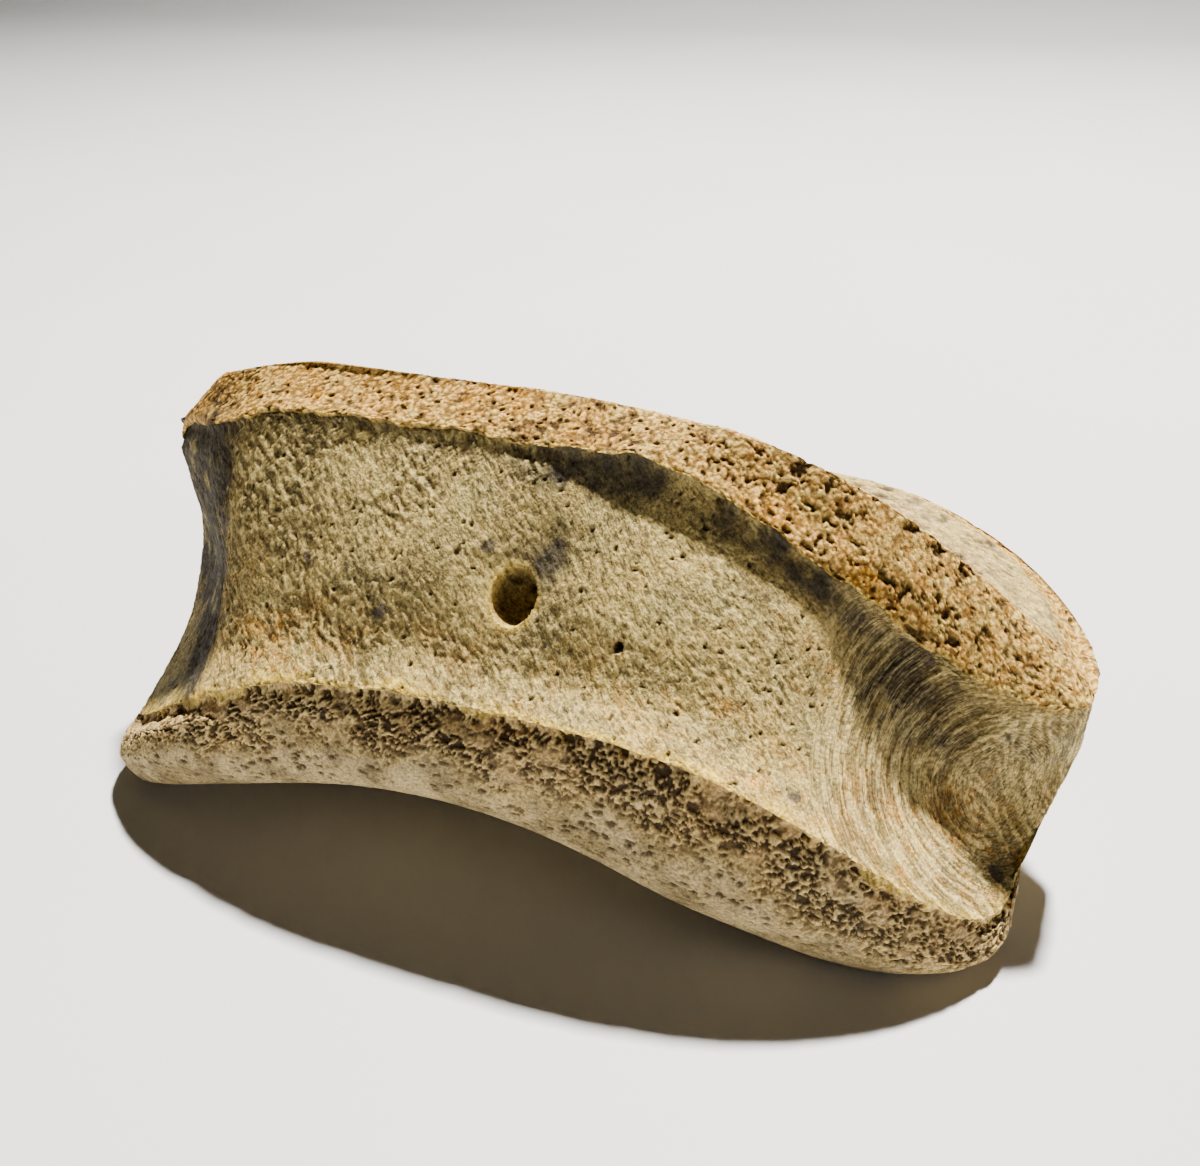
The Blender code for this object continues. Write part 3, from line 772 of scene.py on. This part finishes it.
def wall_relief(grid, normal):
    """The waist's crumpled skin: fine ridges along the fibres, small pores and a few pits."""
    x = grid[..., 0]
    along = fibre_directions(grid, normal)
    flank = smooth((x - FLANK_X) / FLANK_RUN)
    near_hole = blob(grid, (-0.006, -0.018, 0.0385), (0.008, 0.010, 0.007))
    bent = warped(grid, 0.0016, 0.00035, 28)
    coarse = strands(bent, along, WRINKLE[0], WRINKLE[1], 30)
    fine = strands(grid, along, FINE_WRINKLE[0], FINE_WRINKLE[1], 31)
    fibre = np.zeros(x.shape, np.float32)
    there = (x > FLANK_X - 0.002) & (normal[..., 1] < 0.3)
    fibre[there] = strands(grid[there], along[there], HAIR[0], HAIR[1], 32, HAIR_STEPS)
    crumple = ridged(layered(warped(grid, 0.003, 0.0008, 33), WALL_CRUMPLE[0], 36, 3), 1.3)
    rough = (0.50 + 0.50 * smooth(0.5 + layered(grid, 0.007, 40, 2))) * (1.0 - 0.7 * near_hole)
    rough = rough * (1.0 - 0.35 * smooth((x + 0.005) / 0.015))
    wrinkle = ridged(coarse, 1.25)
    folds = WRINKLE[2] * (1.0 - wrinkle) + WALL_CRUMPLE[1] * (1.0 - crumple)
    press = rough * (1.0 - flank) * folds
    press = press + FINE_WRINKLE[2] * (0.5 - 0.5 * fine) * (1.0 - 0.6 * flank)
    strand = smooth(0.5 + 1.1 * fibre)
    press = press + flank * (HAIR[2] * (1.0 - strand) + 0.5 * HAIR[2] * (1.0 - crumple))
    speck, own = cells(warped(grid, 0.0010, 0.0002, 44), WALL_PORES[0], 45)
    porous = mix(0.62, 0.25, smooth((x - 0.004) / 0.012))
    pores = smooth((0.13 + 0.10 * own - speck) / 0.07) * (own > porous) * (1.0 - 0.7 * flank)
    stretched = grid - along * (grid * along).sum(axis=-1, keepdims=True) * 0.55
    hole, hole_own = cells(warped(stretched, 0.002, 0.0005, 48), WALL_PITS[0], 49)
    pits = smooth((0.08 + 0.05 * hole_own - hole) / 0.06) * (hole_own > 0.72) * (1.0 - flank)
    press = press + WALL_PORES[1] * pores + WALL_PITS[1] * pits
    groove = (1.0 - flank) * rough * (1.0 - wrinkle) ** 1.5 + flank * 0.8 * (1.0 - strand)
    pit = np.clip(0.70 * groove + 0.9 * pores + 0.7 * pits, 0.0, 1.0)
    ridge = np.clip((1.0 - flank) * rough * wrinkle ** 3 + flank * strand ** 2, 0.0, 1.0)
    return press, pit, ridge


def band_relief(grid):
    """The porous rim: grains and pores on the left, larger crumbled hollows to the right."""
    x = grid[..., 0]
    right = smooth((x - 0.010) / 0.020)
    bent = warped(grid, 0.0012, 0.00035, 50)
    grain, own = cells(bent, BAND_GRAINS[0], 53)
    pore, pore_own = cells(bent, BAND_PORES[0], 55)
    hollow = layered(bent * np.array([0.8, 1.0, 1.0]), BAND_HOLLOW[0], 57, 3)
    patch = smooth(0.5 + 1.3 * layered(grid, 0.009, 60, 2))
    grains = smooth((grain - 0.18) / 0.50)
    pores = smooth((0.16 + 0.20 * pore_own - pore) / 0.10) * (pore_own > 0.30)
    hollows = smooth((hollow - 0.22) / 0.30) * mix(0.45, 1.0, right * (0.3 + 0.7 * patch))
    hollows = hollows * (1.0 - 0.7 * smooth((x - 0.048) / 0.006))
    press = BAND_GRAINS[1] * grains + BAND_PORES[1] * pores
    press = press + mix(BAND_HOLLOW_LEFT_DEPTH, BAND_HOLLOW[1], right) * hollows
    press = press + BAND_SWELL[1] * (0.5 - 0.5 * layered(grid, BAND_SWELL[0], 62, 2))
    pit = np.clip(0.75 * grains ** 2.5 + 0.9 * pores + 0.9 * hollows, 0.0, 1.0)
    return press, pit, np.clip((1.0 - grains) * (1.0 - hollows) * (0.6 + 0.5 * own), 0.0, 1.0)


def crust_relief(grid):
    """The broken rim of the lower end: thin walls of spongy bone with dark cavities between."""
    bent = warped(grid * np.array([0.70, 1.0, 1.1]), 0.0009, 0.0003, 70)
    web = layered(bent, CRUST_CAVES[0], 73, 2)
    large = layered(bent, CRUST_SWELL[0], 76, 2)
    fine = layered(grid, CRUST_GRAINS[0], 78, 2)
    walls = ridged(web, 2.0)
    open_part = smooth(0.95 + 0.9 * large)
    caves = smooth((np.abs(web) - 0.16) / 0.26) * open_part
    press = CRUST_CAVES[1] * caves + CRUST_SWELL[1] * (0.5 - 0.5 * large)
    press = press + CRUST_GRAINS[1] * (0.5 - 0.5 * fine)
    pit = np.clip(1.15 * caves, 0.0, 1.0)
    return press, pit, np.clip(walls * (0.35 + 0.65 * open_part), 0.0, 1.0)


def seat_relief(grid):
    """The worn joint surface: small pits drawn out sideways, fewer towards the underside."""
    bent = warped(grid * np.array([0.60, 1.0, 1.2]), 0.0020, 0.0004, 80)
    cave, own = cells(bent, SEAT_PITS[0], 83)
    few = 1.0 - smooth((grid[..., 2] - 0.001) / 0.011)
    pits = smooth((0.20 + 0.26 * own - 0.12 * few - cave) / 0.10) * (own > mix(0.10, 0.40, few))
    fine = layered(grid, SEAT_GRAINS[0], 86, 2)
    press = SEAT_PITS[1] * pits + SEAT_GRAINS[1] * (0.5 - 0.5 * fine)
    return press, 0.9 * pits, np.clip(0.25 + 0.5 * fine, 0.0, 0.5)


def relief(grid, position, normal):
    """How far each point is pressed in, and the fields that colour the bone there."""
    x = grid[..., 0]
    from_lip = rise(grid, position, LIP_LEVEL)
    from_crease = rise(grid, position, CREASE_LEVEL)
    from_crest = rise(grid, position, CREST_LEVEL)
    end = smooth((x - 0.044) / 0.008)
    ragged = 0.0008 * noise(grid, 0.0036, 3) + 0.00035 * noise(grid, 0.0012, 4)
    above = smooth((from_lip + 0.0002 + ragged) / (0.00026 + 0.0020 * end) + 0.5)
    crust_edge = from_crease + 0.0007 + 1.2 * ragged + 0.0006 * noise(grid, 0.007, 5)
    below = smooth(0.5 - crust_edge / 0.00030)
    wall = (1.0 - above) * (1.0 - below)
    dish = above * smooth((from_crest - 0.002 + 2.0 * ragged) / 0.002)
    band = above - dish
    crust_depth = CRUST_DEPTH + CRUST_DEPTH_RIGHT * smooth((x + 0.005) / 0.040)
    crust_depth = crust_depth + 0.0030 * noise(grid, 0.006, 6) + 0.0012 * noise(grid, 0.0018, 7)
    seat = below * smooth((-crust_edge - crust_depth) / CRUST_FADE + 0.5)
    crust = below - seat

    parts = (
        (wall, wall_relief(grid, normal)),
        (band, band_relief(grid)),
        (dish, dish_relief(grid)),
        (crust, crust_relief(grid)),
        (seat, seat_relief(grid)),
    )
    press, pits, ridge = (sum(share * part[n] for share, part in parts) for n in range(3))
    under_lip = np.exp(np.minimum(from_lip, 0.0) / 0.0011)
    press = press + (1.0 - above) * LIP_GROOVE * (1.0 - end) * under_lip
    press = press + below * CREASE_GROOVE * np.exp(np.minimum(crust_edge, 0.0) / 0.0012)
    at_lip = np.exp(-(from_lip / 0.0014) ** 2)
    press = press + LIP_CORNER_WEAR * smooth((LIP_CORNER_X - x) / 0.005) * at_lip

    press = press + SIDE_PIT_DEPTH * wall * blob(grid, SIDE_PIT_PLACE, SIDE_PIT_RADII)
    hole, r = opening(grid, FORAMEN_PLACE, FORAMEN_SIZE, FORAMEN_DEPTH, FORAMEN_LEAN)
    small, small_r = opening(
        grid, SMALL_FORAMEN_PLACE, SMALL_FORAMEN_SIZE, SMALL_FORAMEN_DEPTH, FORAMEN_LEAN)
    uneven = 0.5 + 0.5 * layered(grid, 0.0012, 95, 2)
    filling = FORAMEN_FILLING * smooth((1.0 - r) / 0.5) * uneven
    press = press + hole - filling + small
    pits = np.maximum(pits, 0.72 * smooth((1.0 - r) / 0.25))
    pits = np.maximum(pits, smooth((1.0 - small_r) / 0.3))
    flank = smooth((x - FLANK_X) / 0.008)
    near = normal[..., 1] < 0.5
    fields = dict(
        pit=pits,
        ridge=ridge,
        band=band,
        dish=dish,
        crust=crust,
        seat=seat,
        wall=wall * (1.0 - flank) * near,
        flank=wall * flank * near,
        weave=weave_places(grid, from_crease),
        flow=flow_places(grid),
        ochre=ochre_field(grid, wall, band, crust, from_lip),
        shade=shade_and_grey_stain_field(grid, wall, band, from_lip),
        spot=spot_field(grid, wall),
        painted_highlight=highlight_field(grid, wall, band, crust_edge, from_lip + ragged, r),
    )
    return press, fields


def dish_relief(grid):
    """The upper joint surface: fine grain with scattered worn hollows."""
    bent = warped(grid, 0.0016, 0.0004, 100)
    grain = cells(bent, DISH_GRAINS[0], 103)[0]
    hollow = layered(bent, DISH_HOLLOWS[0], 105, 3)
    hollows = smooth((hollow - 0.30) / 0.30)
    grains = smooth((grain - 0.25) / 0.50)
    press = DISH_GRAINS[1] * grains + DISH_HOLLOWS[1] * hollows
    pit = np.clip(0.35 * grains ** 3 + 0.8 * hollows, 0.0, 1.0)
    return press, pit, (1.0 - grains) * (1.0 - hollows) * 0.5


def stained(grid, stains):
    """Sum of the stains' blobs, each times its strength."""
    return sum(strength * blob(grid, place, radii) for strength, place, radii in stains)


def ochre_field(grid, wall, band, crust, from_lip):
    """Where iron has stained the bone yellow-brown."""
    mottle = np.clip(0.5 + 0.9 * layered(grid, 0.0040, 110, 3), 0.0, 1.4)
    low_right = blob(grid, (0.032, -0.008, 0.045), (0.016, 0.020, 0.012))
    low_right = low_right * smooth((0.0062 - from_lip) / 0.0020)
    left_half = smooth((0.012 - grid[..., 0]) / 0.012)
    band_part = band * (0.15 + 0.70 * left_half + 1.2 * low_right)
    wall_part = wall * (stained(grid, OCHRE_STAINS) + 0.12)
    return np.clip((wall_part + band_part + crust * 0.30) * mottle, 0.0, 1.0)


def shade_and_grey_stain_field(grid, wall, band, from_lip):
    """Painted shade and grey stains: a painted shadow under the lip, painted shade on the left face
    and in the wall's hollows, a few grey stains, and a dark granular patch at the band's left
    corner.
    """
    x, y, z = np.moveaxis(grid, -1, 0)
    right = smooth((x + 0.010) / 0.015)
    # Painted shadow of the overhanging lip on the wall below it, stronger to the right
    spots = (0.26 + 0.62 * right) * smooth((from_lip + 0.0045 + 0.0030 * right) / 0.0035)
    spots = spots * (1.0 - smooth((x - 0.036) / 0.006))
    # Painted shade on the left face, which is turned away from the lights
    left_face = smooth((-0.0425 - x + 0.0012 * noise(grid, 0.003, 122)) / 0.0035)
    spots = spots + 1.6 * left_face * smooth((z - 0.014) / 0.010) * (y < 0.012)
    # Grey marks, most of them painted shade in the wall's hollows
    spots = spots + stained(grid, HOLLOW_SHADE_AND_GREY_STAINS)
    corner = band * blob(grid, (-0.0500, -0.0050, 0.0510), 0.0045)
    corner = corner * smooth(0.5 + 1.5 * noise(grid, 0.0008, 124))
    return np.clip(wall * spots * (0.8 + 0.6 * layered(grid, 0.0030, 120, 2)) + corner, 0.0, 1.0)


def spot_field(grid, wall):
    """A few dark grey-violet spots scattered over the wall."""
    spot, own = cells(warped(grid, 0.0015, 0.0004, 135), 0.0085, 138)
    return wall * smooth((0.075 + 0.06 * own - spot) / 0.03) * (own > 0.35)


def highlight_field(grid, wall, band, crust_edge, from_lip, r):
    """Painted highlights: pale rims just above the crease, round the opening and along the lip's
    edge.
    """
    line = np.exp(-((crust_edge - 0.0009) / 0.0010) ** 2)
    rim = np.exp(-((r - 1.12) / 0.16) ** 2)
    edge = np.exp(-((from_lip - 0.0002) / 0.00035) ** 2)
    broken = 0.75 + 0.45 * noise(grid, 0.004, 130)
    return np.clip(wall * (line * broken + 0.6 * rim) + band * 0.8 * edge * broken, 0.0, 1.0)


def lip_wear(grid, position):
    """How far the broken lip has crumbled down: noise along it, fading off above and below."""
    from_lip = rise(grid, position, LIP_LEVEL)
    fade = np.exp(-(from_lip / 0.0016) ** 2) * smooth((0.046 - grid[..., 0]) / 0.010)
    return fade * (0.00042 * noise(grid, 0.0042, 150) + 0.00030 * noise(grid, 0.0016, 151) + 0.0001)


def skin_normals(grid):
    """Unit normals of the finished grid, pointing up where its points coincide."""
    normal = outward(grid)
    bad = ~np.isfinite(normal).all(axis=-1)
    normal[bad] = (0.0, 0.0, 1.0)
    return normal


def placed(name, data):
    """A new object in the scene."""
    thing = bpy.data.objects.new(name, data)
    bpy.context.scene.collection.objects.link(thing)
    return thing


def turned(right, up, back, place):
    """The matrix whose columns are three directions and a place."""
    turn = np.eye(4)
    turn[:3] = np.stack([right, up, back, place], -1)
    return Matrix(turn.tolist())


def grid_quads(rows, columns):
    """Corner numbers of the quads between a grid's points."""
    corner = np.arange(rows - 1)[:, None] * columns + np.arange(columns - 1)[None]
    return np.stack([corner, corner + 1, corner + columns + 1, corner + columns], -1).reshape(-1, 4)


def patch_object(name, grid, normal, fields, closes=0, middle=None):
    """A mesh over one block of the grid.

    closes is -1 where its first row is joined to the middle point, and 1 where its last row is.
    """
    rows, columns = grid.shape[:2]
    points = grid.reshape(-1, 3)
    normals = normal.reshape(-1, 3)
    quads = grid_quads(rows, columns)
    triangles = np.zeros((0, 3), int)
    if closes:
        edge = 0 if closes < 0 else (rows - 1) * columns
        ring_points = edge + np.arange(columns)
        points = np.vstack([points, middle])
        normals = np.vstack([normals, [0.0, 0.0, float(closes)]])
        a, b = ring_points[:-1], ring_points[1:]
        if closes < 0:
            a, b = b, a
        triangles = np.stack([a, b, np.full(len(a), len(points) - 1)], -1)
    mesh = bpy.data.meshes.new(name)
    mesh.vertices.add(len(points))
    mesh.vertices.foreach_set("co", points.astype(np.float32).ravel())
    loops = np.concatenate([quads.ravel(), triangles.ravel()])
    mesh.loops.add(len(loops))
    mesh.loops.foreach_set("vertex_index", loops.astype(np.int32))
    triangle_starts = len(quads) * 4 + np.arange(len(triangles)) * 3
    starts = np.concatenate([np.arange(len(quads)) * 4, triangle_starts])
    mesh.polygons.add(len(starts))
    mesh.polygons.foreach_set("loop_start", starts.astype(np.int32))
    mesh.update(calc_edges=True)
    mesh.polygons.foreach_set("use_smooth", np.ones(len(starts), bool))
    mesh.normals_split_custom_set_from_vertices(normals.astype(np.float32).tolist())
    for key, value in fields.items():
        kind, slot = ("FLOAT_VECTOR", "vector") if value.ndim == 3 else ("FLOAT", "value")
        flat = value.reshape(rows * columns, -1)
        if closes:
            flat = np.vstack([flat, flat[-1:]])
        attribute = mesh.attributes.new(key, kind, "POINT")
        attribute.data.foreach_set(slot, flat.astype(np.float32).ravel())
    return placed(name, mesh)


def cut_patches(grid, normal, fields, near_columns):
    """The whole skin as blocks of rows and columns that share their border points."""
    rows = grid.shape[0]
    ends = np.r_[np.arange(grid.shape[1]), 0]
    sides = {"near": ends[:near_columns + 1], "far": ends[near_columns:]}
    pieces = []
    for side, columns in sides.items():
        block = max(2, PATCH_TRIANGLES // (2 * len(columns)))
        starts = list(range(0, rows - 1, block))
        for n, start in enumerate(starts):
            stop = min(start + block, rows - 1)
            here = np.ix_(np.arange(start, stop + 1), columns)
            part = {key: value[here] for key, value in fields.items()}
            closes = -1 if start == 0 else (1 if stop == rows - 1 else 0)
            middle = grid[0 if closes < 0 else -1].mean(axis=0)
            name = f"skin_{side}_{n + 1}"
            pieces.append(patch_object(name, grid[here], normal[here], part, closes, middle))
    return pieces


def build_skin():
    """The bone's skin: the loft pressed in by its relief, in patches."""
    grid, position, near_columns = plain_skin()
    normal = skin_normals(grid)
    press, fields = relief(grid, position, normal)
    rest = smooth((grid[..., 2] - 0.0002) / 0.0020)
    worn = lip_wear(grid, position)
    grid = grid - ((SKIN_INSET + press) * np.maximum(rest, 0.02))[..., None] * normal
    grid[..., 2] -= worn
    grid[..., 2] = np.maximum(grid[..., 2], 0.0)
    grid = grid - np.array([MIDDLE_X, MIDDLE_Y, 0.0])
    low, high = np.array(CAD_BOX)[:, :2]
    grid[..., :2] = np.clip(grid[..., :2], low + BOX_MARGIN, high - BOX_MARGIN)
    for key, value in fields.items():
        if value.ndim == 2:
            fields[key] = np.clip(value, 0.0, 1.0)
    return cut_patches(grid, skin_normals(grid), fields, near_columns)


class Nodes:
    """Short calls for adding shader nodes to a material."""

    def __init__(self, name):
        self.material = bpy.data.materials.new(name)
        self.material.use_nodes = True
        self.tree = self.material.node_tree
        self.shader = self.tree.nodes["Principled BSDF"]
        self.place = self.add("ShaderNodeTexCoord").outputs["Object"]

    def add(self, kind, **values):
        node = self.tree.nodes.new(kind)
        for key, value in values.items():
            setattr(node, key, value)
        return node

    def link(self, source, target):
        self.tree.links.new(source, target)

    def set(self, socket, value):
        if isinstance(value, bpy.types.NodeSocket):
            self.link(value, socket)
        else:
            socket.default_value = value

    def field(self, name):
        return self.add("ShaderNodeAttribute", attribute_name=name).outputs["Fac"]

    def vector(self, name):
        return self.add("ShaderNodeAttribute", attribute_name=name).outputs["Vector"]

    def noise(self, scale, detail=3.0, rough=0.55, place=None):
        node = self.add("ShaderNodeTexNoise")
        node.inputs["Scale"].default_value = scale
        node.inputs["Detail"].default_value = detail
        node.inputs["Roughness"].default_value = rough
        self.link(place or self.place, node.inputs["Vector"])
        return node.outputs["Fac"]

    def math(self, kind, a, b=0.0, clamp=False):
        node = self.add("ShaderNodeMath", operation=kind, use_clamp=clamp)
        self.set(node.inputs[0], a)
        self.set(node.inputs[1], b)
        return node.outputs[0]

    def span(self, value, low, high, to_low=0.0, to_high=1.0):
        node = self.add("ShaderNodeMapRange")
        self.set(node.inputs["Value"], value)
        ends = {"From Min": low, "From Max": high, "To Min": to_low, "To Max": to_high}
        for socket, end in ends.items():
            node.inputs[socket].default_value = end
        return node.outputs["Result"]

    def blend(self, share, a, b, kind="MIX"):
        node = self.add("ShaderNodeMix", data_type="RGBA", blend_type=kind)
        self.set(node.inputs["Factor"], share)
        for socket, value in ((node.inputs[6], a), (node.inputs[7], b)):
            self.set(socket, value if isinstance(value, bpy.types.NodeSocket) else (*value, 1.0))
        return node.outputs[2]

    def coat(self, colour, name, share, over):
        return self.blend(self.math("MULTIPLY", self.field(name), share), colour, over)


PALE = (0.56, 0.425, 0.150)
OLIVE = (0.31, 0.250, 0.100)
SHADE_AND_STAIN_GREY = (0.042, 0.038, 0.031)
OCHRE = (0.62, 0.265, 0.030)
HIGHLIGHT_CREAM = (0.98, 0.660, 0.130)
TAN = (0.66, 0.325, 0.072)
BUFF = (0.74, 0.500, 0.150)
WORN = (0.52, 0.350, 0.155)
SEAT = (0.50, 0.380, 0.205)
DUST = (0.20, 0.150, 0.078)
VIOLET = (0.055, 0.045, 0.050)
PIT = (0.022, 0.012, 0.005)
RIDGE = (0.82, 0.630, 0.250)
STRAND = (0.78, 0.620, 0.300)
FELT = (0.140, 0.105, 0.055)


def wall_pattern(n, colour):
    """Fine crumpled lines over the wall: pale along their tops and dark between them."""
    crumple = n.noise(1900.0, 4.0, 0.62, n.vector("weave"))
    off = n.math("ABSOLUTE", n.math("SUBTRACT", crumple, 0.52))
    line = n.math("MULTIPLY", n.span(off, 0.0, 0.055, 1.0, 0.0), n.field("wall"))
    gap = n.math("MULTIPLY", n.span(crumple, 0.48, 0.37), n.field("wall"))
    colour = n.blend(n.math("MULTIPLY", line, 0.72), colour, RIDGE)
    return n.blend(n.math("MULTIPLY", gap, 0.85), colour, FELT), crumple


def flank_pattern(n, colour):
    """Long pale strands over a darker ground on the right flank."""
    hair = n.noise(3300.0, 2.0, 0.5, n.vector("flow"))
    off = n.math("ABSOLUTE", n.math("SUBTRACT", hair, 0.5))
    # The strands fade where the painted shade and grey stains lie
    clear = n.math("SUBTRACT", n.field("flank"), n.math("MULTIPLY", n.field("shade"), 0.35))
    line = n.math("MULTIPLY", n.span(off, 0.010, 0.065, 1.0, 0.0), clear)
    ground = n.math("MULTIPLY", n.span(hair, 0.52, 0.36), n.field("flank"))
    colour = n.blend(n.math("MULTIPLY", ground, 0.55), colour, FELT)
    return n.blend(n.math("MULTIPLY", line, 0.62), colour, STRAND)


def bone_material():
    """Fossil bone: a pale wall stained ochre and grey, with painted shade under the lip, on the
    left face and in the hollows and painted highlights along the lip, the crease and the opening, a
    tan porous rim and a dark lower band.
    """
    n = Nodes("fossil_bone")
    broad = n.noise(160.0, 4.0)
    middle = n.noise(620.0, 4.0, 0.6)
    tiny = n.noise(2600.0, 3.0, 0.65)
    patchy = n.span(broad, 0.40, 0.60)
    mottled = n.span(middle, 0.38, 0.62)
    colour = n.blend(patchy, OLIVE, PALE)
    colour = n.blend(n.field("seat"), colour, n.blend(patchy, DUST, SEAT))
    colour = n.blend(n.field("crust"), colour, n.blend(mottled, WORN, SEAT))
    colour = n.blend(n.field("band"), colour, n.blend(mottled, TAN, BUFF))
    colour = n.blend(n.field("dish"), colour, n.blend(mottled, DUST, n.blend(patchy, WORN, PALE)))
    stain = n.math("MULTIPLY", n.field("ochre"), n.span(middle, 0.34, 0.58), clamp=True)
    colour = n.blend(stain, colour, OCHRE)
    colour, crumple = wall_pattern(n, colour)
    # Painted highlights along the lip's edge, above the crease and round the opening
    colour = n.coat(colour, "painted_highlight", 0.95, HIGHLIGHT_CREAM)
    colour = n.coat(colour, "ridge", 0.45, RIDGE)
    # Painted shade under the lip, on the left face and in the hollows, mixed with grey stains
    colour = n.coat(colour, "shade", 0.92, SHADE_AND_STAIN_GREY)
    colour = flank_pattern(n, colour)
    colour = n.coat(colour, "spot", 0.80, VIOLET)
    colour = n.coat(colour, "pit", 0.93, PIT)
    value = n.add("ShaderNodeHueSaturation")
    value.inputs["Saturation"].default_value = 1.04
    n.link(colour, value.inputs["Color"])
    n.link(n.span(tiny, 0.34, 0.66, 0.50, 1.50), value.inputs["Value"])
    n.link(value.outputs["Color"], n.shader.inputs["Base Color"])
    n.set(n.shader.inputs["Roughness"], n.span(middle, 0.3, 0.7, 0.60, 0.86))
    n.shader.inputs["Specular IOR Level"].default_value = 0.12
    bump = n.add("ShaderNodeBump")
    bump.inputs["Strength"].default_value = 0.8
    bump.inputs["Distance"].default_value = 0.00028
    crumpled = n.math("MULTIPLY", crumple, n.field("wall"))
    n.link(n.math("ADD", n.math("MULTIPLY", tiny, 0.7), crumpled), bump.inputs["Height"])
    n.link(bump.outputs["Normal"], n.shader.inputs["Normal"])
    return n.material


def floor_material():
    """Plain pale grey-white, with a slight unevenness."""
    n = Nodes("floor_pale")
    tone = n.span(n.noise(6.0, 2.0), 0.3, 0.7)
    n.link(n.blend(tone, (0.66, 0.66, 0.66), (0.70, 0.70, 0.70)), n.shader.inputs["Base Color"])
    n.shader.inputs["Roughness"].default_value = 0.6
    return n.material


def add_floor():
    """A wide floor that curves up into a back wall, all pale."""
    side, depth = np.meshgrid(np.linspace(-FLOOR_REACH, FLOOR_REACH, 9), FLOOR_DEPTHS)
    height = np.broadcast_to(np.array(FLOOR_HEIGHTS)[:, None], side.shape)
    grid = np.stack([side, depth, height], -1)
    mesh = bpy.data.meshes.new("floor")
    mesh.from_pydata(grid.reshape(-1, 3).tolist(), [], grid_quads(*side.shape).tolist())
    mesh.shade_smooth()
    mesh.materials.append(floor_material())
    floor = placed("floor", mesh)


def add_light(name, place, size, power, colour):
    """A square area light at a place, turned to face the bone."""
    data = bpy.data.lights.new(name, "AREA")
    data.shape = "SQUARE"
    data.size = size
    data.energy = power
    data.color = colour
    back = np.array(place) - np.array(LIGHT_AIM)
    back = back / np.linalg.norm(back)
    side = np.cross((0.0, 1.0, 0.001), back)
    side /= np.linalg.norm(side)
    placed(name, data).matrix_world = turned(side, np.cross(back, side), back, place)


def add_lights():
    """One key light high behind the bone, two weak fills low in front and a faint surround."""
    for name, light in LIGHTS.items():
        add_light(name, *light)
    world = bpy.data.worlds.new("surround")
    bpy.context.scene.world = world
    world.use_nodes = True
    sky = world.node_tree.nodes["Background"]
    sky.inputs["Color"].default_value = (0.85, 0.87, 0.90, 1.0)
    sky.inputs["Strength"].default_value = SURROUND_STRENGTH


def add_camera():
    """The photograph's view."""
    data = bpy.data.cameras.new("camera")
    data.sensor_width = 36.0
    data.lens = CAMERA_LENS
    data.clip_start = 0.01
    camera = placed("camera", data)
    back = np.cross(CAMERA_RIGHT, CAMERA_UP)
    camera.matrix_world = turned(CAMERA_RIGHT, CAMERA_UP, back, CAMERA_PLACE)
    bpy.context.scene.camera = camera


def main():
    add_camera()
    material = bone_material()
    for piece in build_skin():
        piece.data.materials.append(material)
        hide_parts(NODE)
        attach(piece, "root")
    add_floor()
    add_lights()


main()
